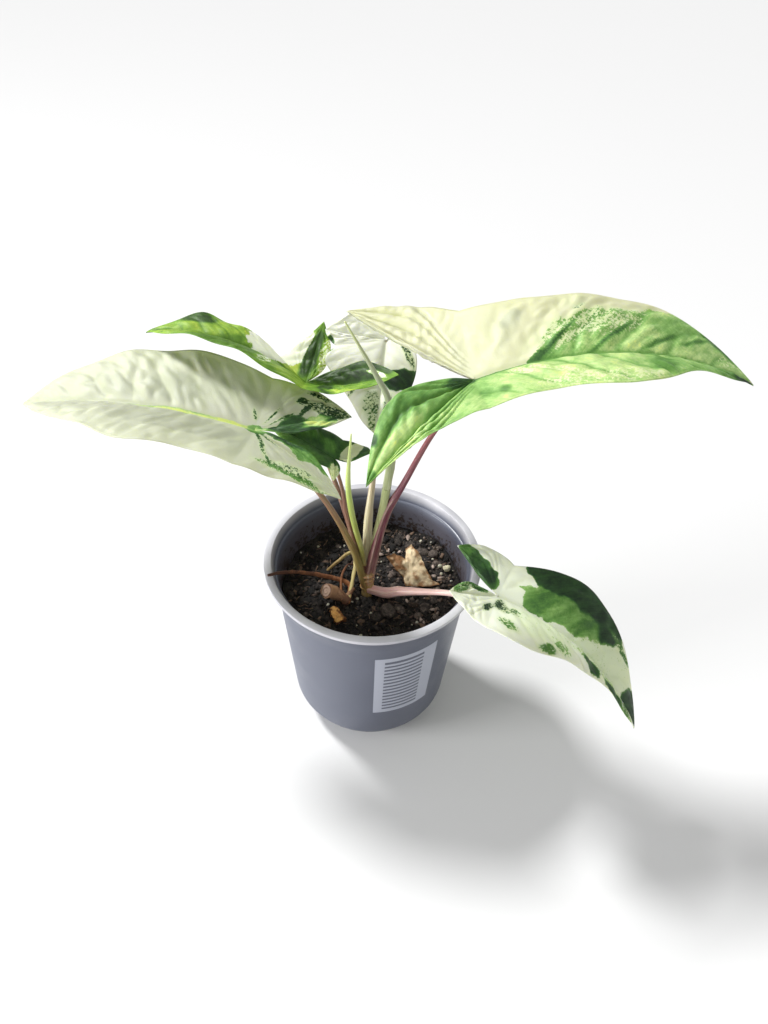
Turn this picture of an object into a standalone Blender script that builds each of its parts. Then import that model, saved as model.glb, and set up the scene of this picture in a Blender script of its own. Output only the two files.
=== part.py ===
"""Potted variegated arrowhead plant: six leaves on one crown in a round plastic nursery pot.

Lengths are millimetres until a mesh is made, then metres. +Z is up, +X is right and +Y is away
from the front. The origin is the centre of the pot's base.
"""
import math
import random

import bmesh
import bpy
from mathutils import Matrix, Vector
from mathutils.bvhtree import BVHTree

MM = 0.001
GAP = 0.3                  # clearance between neighbouring pieces

# Pot
POT_HEIGHT = 105.0
RIM_RADIUS = 52.5
RIM_WIDTH = 3.7            # flat top of the rim
RIM_DEPTH = 2.2            # rim edge, top to underside
COLLAR_RADIUS = 48.8       # short upright band under the rim
WALL_TOP_RADIUS = 47.3
WALL_TOP = 96.5
WALL_FOOT_RADIUS = 41.0
WALL_FOOT = 15.0
WALL = 1.3
FOOT_RADIUS = 32.4
FOOT_WIDTH = 3.0
FLOOR_UNDERSIDE = 2.0
FLOOR_TOP = 4.0
BOSS_RADIUS = 9.0          # flat centre of the base, which touches the ground
NOTCHES = 15
NOTCH_TURN = -92.0         # direction of the first notch, degrees
NOTCH_WIDTH = 5.0
NOTCH_HEIGHT = 1.8
DRAINS = 8
DRAIN_RADIUS = 3.0
DRAIN_CIRCLE = 20.0
POT_SIDES = 48

# Soil
SOIL_LEVEL = 79.3          # at the crown
SOIL_DISH = 4.0            # how much higher it lies at the wall
SOIL_RINGS = 13
SOIL_CRUMB = 0.7           # height of the coarse crumbs
SOIL_GAP = 0.5             # soil to the pot's wall
SOIL_SEED = 11
# mounds and dips: (x, y, height, spread)
MOUNDS = ((28, 26, 4.0, 9.0), (7, -17, 4.0, 4.5), (34, 6, 1.5, 6.0), (22, -26, 1.5, 6.0))

# Crown
CROWN = (-2.0, -1.0)
CROWN_RADIUS = 3.2
CROWN_BOTTOM = 58.0
CROWN_TOP = 93.0
STEM_HOLE_RADIUS = CROWN_RADIUS + 0.6
STEM_HOLE_BOTTOM = CROWN_BOTTOM - GAP

BLADE = 0.8                # leaf thickness
PETIOLE_TIP = 0.55         # radius where a petiole meets its blade
STATIONS = (0.0, 0.22, 0.45, 0.70, 0.88, 1.0)   # where half widths are given, junction to tip


def side(widths, rise, reach, angle, outer, inner, lift, inner_rise=0.0, shoulder=0.0):
    """One half of a leaf: half widths at STATIONS, slope up from the midrib, and its back lobe.

    The lobe reaches `reach` from the junction, `angle` degrees off the line straight back, with
    its outer and inner edges bowed out by `outer` and `inner` and its tip raised by `lift`.
    `shoulder` is how far ahead of the junction the lobe's outer edge starts.
    """
    return dict(widths=tuple(widths) + (0.0,), rise=rise, reach=reach, angle=angle, outer=outer,
                inner=inner, lift=lift, inner_rise=inner_rise, shoulder=shoulder)


# Leaves. heading: degrees from +X; pitch: tip up; arch and sag: the midrib's rise and droop;
# wave: height of the edge waves and their number; left and right as seen from above the junction.
LEAVES = {
    "blade_right": dict(
        junction=(38.0, 0.0, 206.5), heading=8, pitch=0, length=121,
        arch=0.38, sag=0.0038, wave=(0.5, 3.0),
        left=side((35, 32, 30, 25, 15), 0.30, 68, 48, 5.5, 1.5, 4, 0.1),
        right=side((24.5, 23, 27, 12, 5.5), 0.15, 61, 39.5, -2.5, 15.5, -18, 0.3),
    ),
    "blade_left": dict(
        junction=(-50.5, 0.0, 178.5), heading=170, pitch=0, length=105.5,
        arch=0.23, sag=0.0025, wave=(0.6, 3.5),
        left=side((28, 26, 28, 18, 10), 0.16, 45.5, 25, 2, 6, -14, 0.2),
        right=side((28, 33, 31, 25, 14), 0.26, 42.5, 31, 4, 7.5, -3, 0.1),
    ),
    "blade_upper_left": dict(
        junction=(-32.0, 33.0, 180.5), heading=172, pitch=12, length=73,
        arch=0.52, sag=0.0067, wave=(0.9, 3.0),
        left=side((15, 19, 15.5, 11, 7), 0.5, 39, 9, 3, 8, 22, 0.9),
        right=side((10, 12, 11.5, 14, 7), 0.10, 24, 90, 1, 7, 18, 0.2, 16),
    ),
    "blade_back": dict(
        junction=(3.5, 48.0, 194.5), heading=-97, pitch=-50, length=43,
        arch=0.25, sag=0.006, wave=(0.6, 2.5),
        left=side((12.5, 15, 14, 9, 5), 0.10, 15, 70, 1, 4, 1, 0.0),
        right=side((22, 26, 20, 12, 6.5), 0.10, 28, 86, 1, 11, 1, 0.0, 5),
    ),
    "blade_low_right": dict(
        junction=(56.5, -30.0, 112.0), heading=-25, pitch=-22, length=90.5,
        arch=0.33, sag=0.0064, wave=(0.5, 3.0),
        left=side((18, 26, 27.5, 19, 8.5), 0.20, 30, 27, 5, 1.5, -2, 0.0),
        right=side((26, 25, 14.5, 7, 4.5), 0.35, 28.5, 42, 1, 6, 7, 0.0),
    ),
    "blade_small": dict(
        junction=(-18.5, 8.0, 158.0), heading=165, pitch=22, length=32,
        arch=0.10, sag=0.003, wave=(0.4, 2.0),
        left=side((9, 11, 10, 7, 3.5), 0.20, 9, 60, 2, 3, -5, 0.0),
        right=side((11, 11, 10, 7, 3.5), 0.20, 14, 18, 5, 2, 9, 0.0),
    ),
}

# Petioles and shoots: points along the middle, and the radius at each end of three stretches
PETIOLES = {
    "blade_right": dict(path=((-2, 0, 84), (-1, 0, 96), (5, 0, 131.8), (12.5, 0, 150.5), (23.4, 0, 178.7)),
                        radii=(2.6, 2.5, 2.2, 1.5, 1.15)),
    "blade_left": dict(path=((-3, -2, 84), (-5, -2, 93), (-9, -3, 111.3), (-21.3, -4, 142.3),
                             (-37, -2, 165)),
                       radii=(1.9, 1.8, 1.7, 1.3, 1.1)),
    "blade_upper_left": dict(path=((-3, 0, 84), (-4.6, 1, 91), (-8.2, 4, 107), (-15.5, 14, 127),
                                   (-26, 29.5, 151)),
                             radii=(1.9, 1.8, 1.6, 1.3, 1.05)),
    "blade_back": dict(path=((-2, 1, 84), (-2.7, 2, 99), (-2.8, 8, 119), (-1.2, 16, 135), (2.5, 46, 178)),
                       radii=(2.2, 2.2, 2.0, 1.5, 1.15)),
    "blade_low_right": dict(path=((-1.5, -2.6, 83), (6.6, -6.4, 84.6), (14.2, -10.2, 90.6),
                                  (25.2, -17, 98.6), (34.8, -23.2, 105.4), (45, -27.2, 107.5)),
                            radii=(2.1, 2.5, 2.3, 1.6, 1.4, 1.15)),
    "blade_small": dict(path=((-4, 0, 95), (-8.2, 1, 111), (-12.6, 2, 132), (-14.6, 3.5, 144),
                              (-17.2, 6.5, 153)),
                        radii=(1.3, 1.3, 1.1, 0.9, 0.8)),
}
ROLLED_FOOT = ((-1.5, 0, 92), (-0.5, 0, 104), (1.4, 0, 118), (4.1, 0, 136.5), (5.4, 0.4, 148))
ROLLED_FOOT_RADII = (1.6, 1.7, 1.8, 1.9, 2.0)
ROLLED_LEAF = ((5.45, 0.4, 148.4), (6.7, 1, 163.7), (4.9, 3, 192.1), (0.1, 4, 203.1), (-12.9, 5, 227.2))
ROLLED_LEAF_RADII = (1.9, 2.0, 1.3, 1.1, 0.35)
SPEAR_FOOT = ((-4, -1.5, 100), (-5.4, -2.4, 111.3), (-8.2, -4, 126))
SPEAR_FOOT_RADII = (1.2, 1.3, 1.3)
SPEAR = ((-8.3, -4.1, 126.5), (-10.5, -5.2, 141.2), (-11.6, -6.2, 156.5), (-10.1, -8, 183.9))
SPEAR_RADII = (1.3, 1.3, 1.1, 0.3)
TUBE_SIDES = 8

# Old stem and what grows on it, lying on the soil: points along the middle, and radii
OLD_STEM = (((-22.2, -9.6, 88.2), (-20.4, -8.4, 86.2), (-18.0, -7.6, 84.2), (-14.6, -9.0, 83.0),
             (-11.0, -11.6, 82.2)), (3.6, 3.5, 3.2, 2.6, 2.0))
ROOTS = (
    (((-11.5, -12.0, 82.4), (-10.8, -6.0, 82.8), (-11.4, -1.0, 83.6), (-20.9, -0.6, 88.0),
      (-34.7, -8.2, 99.4), (-43.4, -15.6, 106.8), (-48.2, -18.2, 107.8)),
     (1.0, 1.1, 1.2, 1.2, 0.9, 0.8, 0.6)),
    (((-11.5, -11.5, 82.4), (-9.6, 1.5, 85.5), (-8.8, 10.0, 88.0), (-10.2, 16.4, 88.6), (-17.6, 11.1, 87.0),
      (-22.9, 9.7, 81.6)), (0.9, 0.9, 0.9, 0.9, 0.9, 0.7)),
    (((-14.5, -11.5, 83.5), (-15.2, -5.9, 84.8), (-15.1, 1.3, 87.4), (-12.4, 8.0, 88.0), (-9.0, 9.6, 87.0)),
     (0.6, 0.6, 0.6, 0.5, 0.5)),
    (((-14.4, -11.0, 82.6), (-11.0, -7.2, 83.6), (-8.4, -4.6, 84.6)), (1.3, 1.1, 0.7)),
)

# Loose pieces on the soil
DRY_LEAF_OUTLINE = (       # in the scrap's own plane
    (7, 11), (11, 12.5), (16.5, 10.5), (17, 16), (19.5, 18), (24.5, 11.5), (27, 5.5), (31, -1), (34, -3),
    (25, -4), (17, -3.5), (16, 1), (11.5, 5), (9.5, 8),
)
DRY_LEAF_MIDDLE = (18.5, 5.0)
DRY_LEAF_TILT = 35.0
DRY_LEAF_FOOT = (4.5, 82.5)          # y and z of the line it leans up from
DRY_LEAF_CREASE = 0.28               # rise each side of the crease across its middle
DRY_LEAF_BULGE = 1.4
DRY_LEAF = 0.8
CHIPS = {
    # name: (x, y, half sizes, turn in degrees)
    "bark_chip": (-16.4, -20.2, (2.4, 4.6, 1.2), 30),
    "perlite_bit": (37.8, 10.2, (1.9, 1.6, 1.4), 20),
}

COLOURS = {
    "pot": ((0.19, 0.20, 0.24), 0.45),
    "soil": ((0.035, 0.024, 0.018), 0.95),
    "stems": ((0.36, 0.22, 0.20), 0.45),
    "blade_right": ((0.42, 0.62, 0.28), 0.42),
    "blade_left": ((0.80, 0.83, 0.66), 0.42),
    "blade_upper_left": ((0.16, 0.38, 0.08), 0.42),
    "blade_back": ((0.78, 0.80, 0.74), 0.42),
    "blade_low_right": ((0.30, 0.46, 0.24), 0.42),
    "blade_small": ((0.05, 0.17, 0.06), 0.42),
    "rolled_leaf": ((0.42, 0.46, 0.28), 0.45),
    "young_spear": ((0.46, 0.58, 0.16), 0.45),
    "old_stem_roots": ((0.28, 0.13, 0.07), 0.7),
    "dry_leaf": ((0.56, 0.43, 0.26), 0.75),
    "bark_chip": ((0.58, 0.30, 0.10), 0.8),
    "perlite_bit": ((0.82, 0.80, 0.62), 0.8),
}


def clear_scene():
    for obj in list(bpy.data.objects):
        bpy.data.objects.remove(obj, do_unlink=True)


def material(name):
    colour, roughness = COLOURS[name]
    mat = bpy.data.materials.new(name)
    mat.use_nodes = True
    shader = mat.node_tree.nodes["Principled BSDF"]
    shader.inputs["Base Color"].default_value = (*colour, 1.0)
    shader.inputs["Roughness"].default_value = roughness
    shader.inputs["Metallic"].default_value = 0.0
    return mat


def add_object(name, points, faces, dressed=True):
    """Mesh object from points in millimetres, shaded smooth where its faces turn gently."""
    mesh = bpy.data.meshes.new(name)
    mesh.from_pydata([tuple(c * MM for c in p) for p in points], [], faces)
    work = bmesh.new()
    work.from_mesh(mesh)
    bmesh.ops.remove_doubles(work, verts=work.verts, dist=1e-6)
    bmesh.ops.dissolve_degenerate(work, dist=1e-7, edges=work.edges)
    bmesh.ops.triangulate(work, faces=work.faces)
    bmesh.ops.recalc_face_normals(work, faces=work.faces)
    work.to_mesh(mesh)
    work.free()
    mesh.shade_smooth()
    mesh.set_sharp_from_angle(angle=math.radians(40))
    obj = bpy.data.objects.new(name, mesh)
    bpy.context.scene.collection.objects.link(obj)
    if dressed:
        obj.data.materials.append(material(name))
    return obj


def cutter(name, points, faces, group):
    """Closed tool body, kept out of the model, in a collection that a Boolean reads."""
    obj = add_object(name, points, faces, dressed=False)
    obj.hide_render = True
    obj.display_type = "WIRE"
    bpy.context.scene.collection.objects.unlink(obj)
    group.objects.link(obj)
    return obj


def new_group(name):
    group = bpy.data.collections.new(name)
    bpy.context.scene.collection.children.link(group)
    return group


def apply_boolean(obj, group, operation):
    """Cut or join a collection into an object, then drop the collection's objects."""
    modifier = obj.modifiers.new(operation.title(), "BOOLEAN")
    modifier.operation = operation
    modifier.operand_type = "COLLECTION"
    modifier.collection = group
    modifier.solver = "EXACT"
    view = bpy.context.evaluated_depsgraph_get()
    joined = bpy.data.meshes.new_from_object(obj.evaluated_get(view))
    obj.modifiers.clear()
    obj.data = joined
    for tool in list(group.objects):
        bpy.data.objects.remove(tool, do_unlink=True)
    bpy.data.collections.remove(group)


def turned(profile, sides):
    """Points and faces of a profile turned round the Z axis; its ends lie on the axis."""
    points = []
    rings = []
    for radius, z in profile:
        if radius < 1e-6:
            rings.append([len(points)])
            points.append((0.0, 0.0, z))
            continue
        rings.append(list(range(len(points), len(points) + sides)))
        for k in range(sides):
            turn = 2 * math.pi * k / sides
            points.append((radius * math.cos(turn), radius * math.sin(turn), z))
    faces = []
    for low, high in zip(rings, rings[1:]):
        for k in range(sides):
            n = (k + 1) % sides
            if len(low) == 1:
                faces.append((low[0], high[n], high[k]))
            elif len(high) == 1:
                faces.append((low[k], low[n], high[0]))
            else:
                faces.append((low[k], low[n], high[n], high[k]))
    return points, faces


def prism(corners, bottom, top):
    """Upright prism over a flat outline."""
    count = len(corners)
    points = [(x, y, z) for z in (bottom, top) for x, y in corners]
    faces = [tuple(range(count))[::-1], tuple(range(count, 2 * count))]
    for k in range(count):
        n = (k + 1) % count
        faces.append((k, n, count + n, count + k))
    return points, faces


def disc_outline(x, y, radius, sides, turn=0.0):
    return [(x + radius * math.cos(turn + 2 * math.pi * k / sides),
             y + radius * math.sin(turn + 2 * math.pi * k / sides)) for k in range(sides)]


def spline(points, per_span):
    """Smooth run of points through the given ones, with their indices as floats."""
    vectors = [Vector(p) for p in points]
    ends = [2 * vectors[0] - vectors[1]] + vectors + [2 * vectors[-1] - vectors[-2]]
    run = []
    for i in range(1, len(ends) - 2):
        before, start, end, after = ends[i - 1:i + 3]
        span = (end - start).length
        leave = (end - before).normalized() * span
        arrive = (after - start).normalized() * span
        for k in range(per_span):
            t = k / per_span
            run.append(start * (2 * t**3 - 3 * t**2 + 1) + leave * (t**3 - 2 * t**2 + t)
                       + end * (3 * t**2 - 2 * t**3) + arrive * (t**3 - t**2))
    run.append(vectors[-1])
    return run


def tube(path, radii, per_span=3, sides=TUBE_SIDES, blunt=True):
    """Points and faces of a closed tube along a smooth path, its radius read along the path."""
    middle = spline(path, per_span)
    spans = len(path) - 1
    points = []
    faces = []
    across = Vector((0, 1, 0))
    for i, centre in enumerate(middle):
        ahead = middle[min(i + 1, len(middle) - 1)] - middle[max(i - 1, 0)]
        ahead.normalize()
        across = (across - ahead * across.dot(ahead)).normalized()
        up = ahead.cross(across)
        place = i / per_span
        span = min(int(place), spans - 1)
        radius = radii[span] + (radii[span + 1] - radii[span]) * (place - span)
        for k in range(sides):
            turn = 2 * math.pi * k / sides
            points.append(centre + (across * math.cos(turn) + up * math.sin(turn)) * radius)
    rings = len(middle)
    for i in range(rings - 1):
        for k in range(sides):
            n = (k + 1) % sides
            faces.append((i * sides + k, i * sides + n, (i + 1) * sides + n, (i + 1) * sides + k))
    faces.append(tuple(range(sides))[::-1])
    if blunt:
        faces.append(tuple(range((rings - 1) * sides, rings * sides)))
    else:
        tip = len(points)
        points.append(middle[-1] + (middle[-1] - middle[-2]).normalized() * radii[-1] * 2)
        last = (rings - 1) * sides
        faces += [(last + k, last + (k + 1) % sides, tip) for k in range(sides)]
    return points, faces


def wall_radius(z):
    """Outer radius of the pot's tapered wall."""
    return WALL_FOOT_RADIUS + (WALL_TOP_RADIUS - WALL_FOOT_RADIUS) * (z - WALL_FOOT) / (WALL_TOP - WALL_FOOT)


def inner_radius(z):
    return wall_radius(z) - WALL


LEDGE = POT_HEIGHT - 5.4   # stacking ledge inside, below the rim


def build_pot():
    rim_inner = RIM_RADIUS - RIM_WIDTH
    underside = POT_HEIGHT - RIM_DEPTH
    profile = [
        (0, 0), (BOSS_RADIUS, 0), (BOSS_RADIUS + 1, FLOOR_UNDERSIDE),
        (FOOT_RADIUS - FOOT_WIDTH - 0.6, FLOOR_UNDERSIDE), (FOOT_RADIUS - FOOT_WIDTH, 0), (FOOT_RADIUS, 0),
        (FOOT_RADIUS + 0.5, 0.6), (FOOT_RADIUS + 1.0, 2.6), (WALL_FOOT_RADIUS - 5.6, 5.2),
        (WALL_FOOT_RADIUS - 2.6, 9.0), (WALL_FOOT_RADIUS - 0.7, 12.4),
        (WALL_FOOT_RADIUS, WALL_FOOT), (WALL_TOP_RADIUS, WALL_TOP), (COLLAR_RADIUS - 0.2, WALL_TOP + 1.7),
        (COLLAR_RADIUS, underside - 0.2), (RIM_RADIUS - 0.7, underside), (RIM_RADIUS, underside + 0.6),
        (RIM_RADIUS, POT_HEIGHT - 0.6), (RIM_RADIUS - 0.6, POT_HEIGHT), (rim_inner, POT_HEIGHT),
        (rim_inner - 0.4, POT_HEIGHT - 0.5), (rim_inner - 1.3, LEDGE + 0.8),
        (inner_radius(LEDGE) + 0.2, LEDGE),
        (inner_radius(WALL_FOOT) - 0.1, WALL_FOOT + 0.5), (WALL_FOOT_RADIUS - 4.3, 10.0),
        (WALL_FOOT_RADIUS - 7.4, 6.2), (FOOT_RADIUS - 1.5, FLOOR_TOP),
        (0, FLOOR_TOP),
    ]
    pot = add_object("pot", *turned(profile, POT_SIDES))
    tools = new_group("pot_tools")
    for k in range(NOTCHES):
        turn = math.radians(NOTCH_TURN) + 2 * math.pi * k / NOTCHES
        along = Vector((math.cos(turn), math.sin(turn)))
        across = Vector((-along.y, along.x)) * NOTCH_WIDTH / 2
        near = along * (FOOT_RADIUS - FOOT_WIDTH - 1.2)
        far = along * (FOOT_RADIUS + 4)
        corners = [near - across, far - across, far + across, near + across]
        cutter(f"notch_{k}", *prism([tuple(c) for c in corners], -1, NOTCH_HEIGHT), tools)
    for k in range(DRAINS):
        turn = 2 * math.pi * k / DRAINS
        outline = disc_outline(DRAIN_CIRCLE * math.cos(turn), DRAIN_CIRCLE * math.sin(turn),
                               DRAIN_RADIUS, 12)
        cutter(f"drain_{k}", *prism(outline, FLOOR_UNDERSIDE - 1, FLOOR_TOP + 1), tools)
    apply_boolean(pot, tools, "DIFFERENCE")
    return pot


def soil_height(x, y):
    """Height of the soil, without its crumbs."""
    z = SOIL_LEVEL + SOIL_DISH * (x * x + y * y) / inner_radius(SOIL_LEVEL)**2
    for mx, my, height, spread in MOUNDS:
        z += height * math.exp(-((x - mx)**2 + (y - my)**2) / (2 * spread**2))
    z += 0.5 * math.sin(0.31 * x + 1.2) * math.cos(0.27 * y) + 0.4 * math.sin(0.55 * y + 0.4 * x)
    return z


def build_soil():
    draw = random.Random(SOIL_SEED)
    lower = [(0, FLOOR_TOP + GAP), (FOOT_RADIUS - 1.8, FLOOR_TOP + GAP), (WALL_FOOT_RADIUS - 7.8, 6.5),
             (WALL_FOOT_RADIUS - 4.8, 10.3), (inner_radius(WALL_FOOT) - 0.5, WALL_FOOT + 0.9)]
    points, faces = turned(lower, POT_SIDES)
    last = len(points) - POT_SIDES
    for ring in range(SOIL_RINGS, 0, -1):
        share = ring / SOIL_RINGS
        start = len(points)
        for k in range(POT_SIDES):
            turn = 2 * math.pi * k / POT_SIDES
            rough = SOIL_CRUMB * draw.uniform(-1, 1) * min(1.0, 3 * share) if ring < SOIL_RINGS else 0.0
            radius = (inner_radius(SOIL_LEVEL + SOIL_DISH) - SOIL_GAP) * share
            x, y = radius * math.cos(turn), radius * math.sin(turn)
            points.append((x, y, soil_height(x, y) + rough))
        for k in range(POT_SIDES):
            n = (k + 1) % POT_SIDES
            faces.append((last + k, last + n, start + n, start + k))
        last = start
    centre = len(points)
    points.append((0, 0, soil_height(0, 0)))
    faces += [(last + k, last + (k + 1) % POT_SIDES, centre) for k in range(POT_SIDES)]
    soil = add_object("soil", points, faces)
    tools = new_group("soil_tools")
    hole = prism(disc_outline(*CROWN, STEM_HOLE_RADIUS, 16), STEM_HOLE_BOTTOM, POT_HEIGHT)
    cutter("stem_hole", *hole, tools)
    apply_boolean(soil, tools, "DIFFERENCE")
    return soil


def leaf_axes(leaf):
    """Unit vectors along the blade, to its left and out of its upper face."""
    heading, pitch = math.radians(leaf["heading"]), math.radians(leaf["pitch"])
    flat = math.cos(pitch)
    along = Vector((math.cos(heading) * flat, math.sin(heading) * flat, math.sin(pitch)))
    left = Vector((-math.sin(heading), math.cos(heading), 0))
    return along, left, along.cross(left)


def half_width(half, q):
    """Half width at share q of the blade's length, smooth through the values at STATIONS."""
    widths = half["widths"]
    i = max(k for k in range(len(STATIONS) - 1) if STATIONS[k] <= q + 1e-9)

    def slope(k):
        low, high = max(k - 1, 0), min(k + 1, len(STATIONS) - 1)
        return (widths[high] - widths[low]) / (STATIONS[high] - STATIONS[low])

    span = STATIONS[i + 1] - STATIONS[i]
    t = (q - STATIONS[i]) / span
    return ((2 * t**3 - 3 * t**2 + 1) * widths[i] + (t**3 - 2 * t**2 + t) * span * slope(i)
            + (3 * t**2 - 2 * t**3) * widths[i + 1] + (t**3 - t**2) * span * slope(i + 1))


def blade_point(leaf, half, q, v):
    """Point (along, across, up) of the front part: q along the midrib, v from midrib to edge."""
    a = q * leaf["length"]
    w = half_width(half, q) * v
    height, count = leaf["wave"]
    fade = math.sin(math.pi * q)**0.5 if 0 < q < 1 else 0.0
    ripple = height * math.sin(2 * math.pi * count * q + 0.6) * fade * v * v
    dome = 1.2 * 4 * v * (1 - v) * fade
    up = leaf["arch"] * a - leaf["sag"] * a * a + half["rise"] * w + dome + ripple
    return a + half["shoulder"] * v * (1 - q)**3, w, up


def lobe_point(leaf, half, u, v, inner):
    """Point (along, across, up) of a back lobe: u along its rib, v from the rib to an edge."""
    angle = math.radians(half["angle"])
    tip = Vector((-math.cos(angle), math.sin(angle))) * half["reach"]
    rib = tip * u
    up = half["lift"] * u**1.5
    if inner:
        normal = Vector((tip.y, -tip.x)).normalized()
        if normal.x > 0:
            normal = -normal
        bow = half["inner"] * math.sin(math.pi * u)
        edge = rib + normal * bow
        edge_up = up + half["inner_rise"] * bow
    else:
        waist = Vector((half["shoulder"], half["widths"][0]))
        chord = tip - waist
        normal = Vector((chord.y, -chord.x)).normalized()
        if normal.dot(Vector((-0.3, 1))) < 0:
            normal = -normal
        edge = waist.lerp(tip, u) + normal * half["outer"] * 4 * u * (1 - u)
        edge_up = up + (1 - u) * half["rise"] * half["widths"][0]
    height, count = leaf["wave"]
    ripple = 0.7 * height * math.sin(2 * math.pi * count * 0.6 * u + 1.0) * math.sin(math.pi * u) * v * v
    place = rib.lerp(edge, v)
    dome = 0.8 * 4 * v * (1 - v) * math.sin(math.pi * u)
    return place.x, place.y, up + (edge_up - up) * v + dome + ripple


def build_blade(name, leaf, long_steps=10, lobe_steps=6, across_steps=3):
    """Closed leaf blade: two front halves and two lobes, each face a copy of the other, offset."""
    along, left, out = leaf_axes(leaf)
    junction = Vector(leaf["junction"])
    upper = []
    cells = []
    edge_runs = []

    def add_patch(steps, sign, place):
        start = len(upper)
        width = across_steps + 1
        for i in range(steps + 1):
            for j in range(width):
                a, c, up = place(i / steps, j / across_steps)
                upper.append(junction + along * a + left * (c * sign) + out * up)
        for i in range(steps):
            for j in range(across_steps):
                corner = start + i * width + j
                cells.append((corner, corner + 1, corner + width + 1))
                cells.append((corner, corner + width + 1, corner + width))
        edge_runs.append([start + i * width + across_steps for i in range(steps + 1)])

    for sign, half in ((1, leaf["left"]), (-1, leaf["right"])):
        add_patch(long_steps, sign, lambda q, v: blade_point(leaf, half, q, v))
        add_patch(lobe_steps, sign, lambda u, v: lobe_point(leaf, half, u, v, False))
        add_patch(lobe_steps, sign, lambda u, v: lobe_point(leaf, half, u, v, True))

    count = len(upper)
    points = [p + out * BLADE / 2 for p in upper] + [p - out * BLADE / 2 for p in upper]
    faces = cells + [(a + count, c + count, b + count) for a, b, c in cells]
    for run in edge_runs:
        for a, b in zip(run, run[1:]):
            faces.append((a, b, b + count))
            faces.append((a, b + count, a + count))
    return add_object(name, points, faces)


def petiole_end(leaf, before):
    """Where the petiole stops, one gap under the blade, however its end is tilted."""
    out = leaf_axes(leaf)[2]
    junction = Vector(leaf["junction"])
    lean = (junction - Vector(before)).normalized().cross(out).length
    return junction - out * (BLADE / 2 + GAP + PETIOLE_TIP * lean)


def build_stems():
    """Crown with every petiole and the feet of both shoots, joined into one body."""
    crown_path = ((*CROWN, CROWN_BOTTOM), (*CROWN, SOIL_LEVEL + 1), (CROWN[0] - 0.4, 0, CROWN_TOP))
    stems = add_object("stems", *tube(crown_path, (CROWN_RADIUS, CROWN_RADIUS, 2.9), sides=12))
    tools = new_group("stem_tools")
    for name, petiole in PETIOLES.items():
        path = (*petiole["path"], tuple(petiole_end(LEAVES[name], petiole["path"][-1])))
        radii = (*petiole["radii"], PETIOLE_TIP)
        cutter(f"petiole_of_{name}", *tube(path, radii), tools)
    cutter("rolled_foot", *tube(ROLLED_FOOT, ROLLED_FOOT_RADII), tools)
    cutter("spear_foot", *tube(SPEAR_FOOT, SPEAR_FOOT_RADII), tools)
    apply_boolean(stems, tools, "UNION")
    return stems


def build_old_stem():
    """Cut stub of an earlier stem with its roots and a torn base, joined into one body."""
    old_stem = add_object("old_stem_roots", *tube(*OLD_STEM, sides=10))
    tools = new_group("root_tools")
    for k, (path, radii) in enumerate(ROOTS):
        cutter(f"root_{k}", *tube(path, radii, sides=6), tools)
    apply_boolean(old_stem, tools, "UNION")
    return old_stem


def build_dry_leaf():
    """Scrap of dead leaf: a thin creased sheet that leans up from the soil."""
    tilt = math.radians(DRY_LEAF_TILT)
    out = Vector((0, -math.sin(tilt), math.cos(tilt)))
    middle = Vector(DRY_LEAF_MIDDLE)
    outline = [Vector(p) for p in DRY_LEAF_OUTLINE]
    count = len(outline)
    flat = [(middle, DRY_LEAF_BULGE)] + [(middle.lerp(p, 0.55), DRY_LEAF_BULGE) for p in outline]
    flat += [(p, 0.0) for p in outline]
    sheet = []
    for p, bulge in flat:
        up = DRY_LEAF_CREASE * abs(p.x - middle.x) + bulge
        y = DRY_LEAF_FOOT[0] + p.y * math.cos(tilt)
        z = DRY_LEAF_FOOT[1] + p.y * math.sin(tilt)
        sheet.append(Vector((p.x, y, z)) + out * up)
    cells = []
    for k in range(count):
        n = (k + 1) % count
        cells.append((0, 1 + k, 1 + n))
        cells.append((1 + k, 1 + count + k, 1 + count + n))
        cells.append((1 + k, 1 + count + n, 1 + n))
    total = len(sheet)
    points = [p + out * DRY_LEAF / 2 for p in sheet] + [p - out * DRY_LEAF / 2 for p in sheet]
    faces = cells + [(a + total, c + total, b + total) for a, b, c in cells]
    for k in range(count):
        a, b = 1 + count + k, 1 + count + (k + 1) % count
        faces.append((a, b, b + total))
        faces.append((a, b + total, a + total))
    return add_object("dry_leaf", points, faces)


def build_chip(name, x, y, half_sizes, turn):
    """Small irregular lump: a coarse ball, squashed and turned."""
    draw = random.Random(len(name))
    work = bmesh.new()
    bmesh.ops.create_icosphere(work, subdivisions=2, radius=1.0)
    turn = math.radians(turn)
    points = []
    for vert in work.verts:
        swell = 1 + draw.uniform(-0.14, 0.14)
        px, py, pz = (vert.co[i] * half_sizes[i] * swell for i in range(3))
        points.append((x + px * math.cos(turn) - py * math.sin(turn),
                       y + px * math.sin(turn) + py * math.cos(turn),
                       soil_height(x, y) + half_sizes[2] + pz))
    faces = [tuple(v.index for v in face.verts) for face in work.faces]
    work.free()
    return add_object(name, points, faces)


def tree_of(obj):
    return BVHTree.FromPolygons([v.co for v in obj.data.vertices], [p.vertices for p in obj.data.polygons])


def seat(obj, ground):
    """Raise or lower a piece until it lies one gap above the ground at its closest point."""
    reach = 1.0
    down, up = Vector((0, 0, -1)), Vector((0, 0, 1))
    below, above = tree_of(ground), tree_of(obj)
    clear = []
    for vert in obj.data.vertices:
        hit = below.ray_cast(vert.co + up * reach, down)[0]
        if hit is not None:
            clear.append(vert.co.z - hit.z)
    for vert in ground.data.vertices:
        hit = above.ray_cast(vert.co - up * reach, up)[0]
        if hit is not None:
            clear.append(hit.z - vert.co.z)
    obj.data.transform(Matrix.Translation(up * (GAP * MM - min(clear))))
    while tree_of(obj).overlap(below):
        obj.data.transform(Matrix.Translation(up * GAP * MM))


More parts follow.
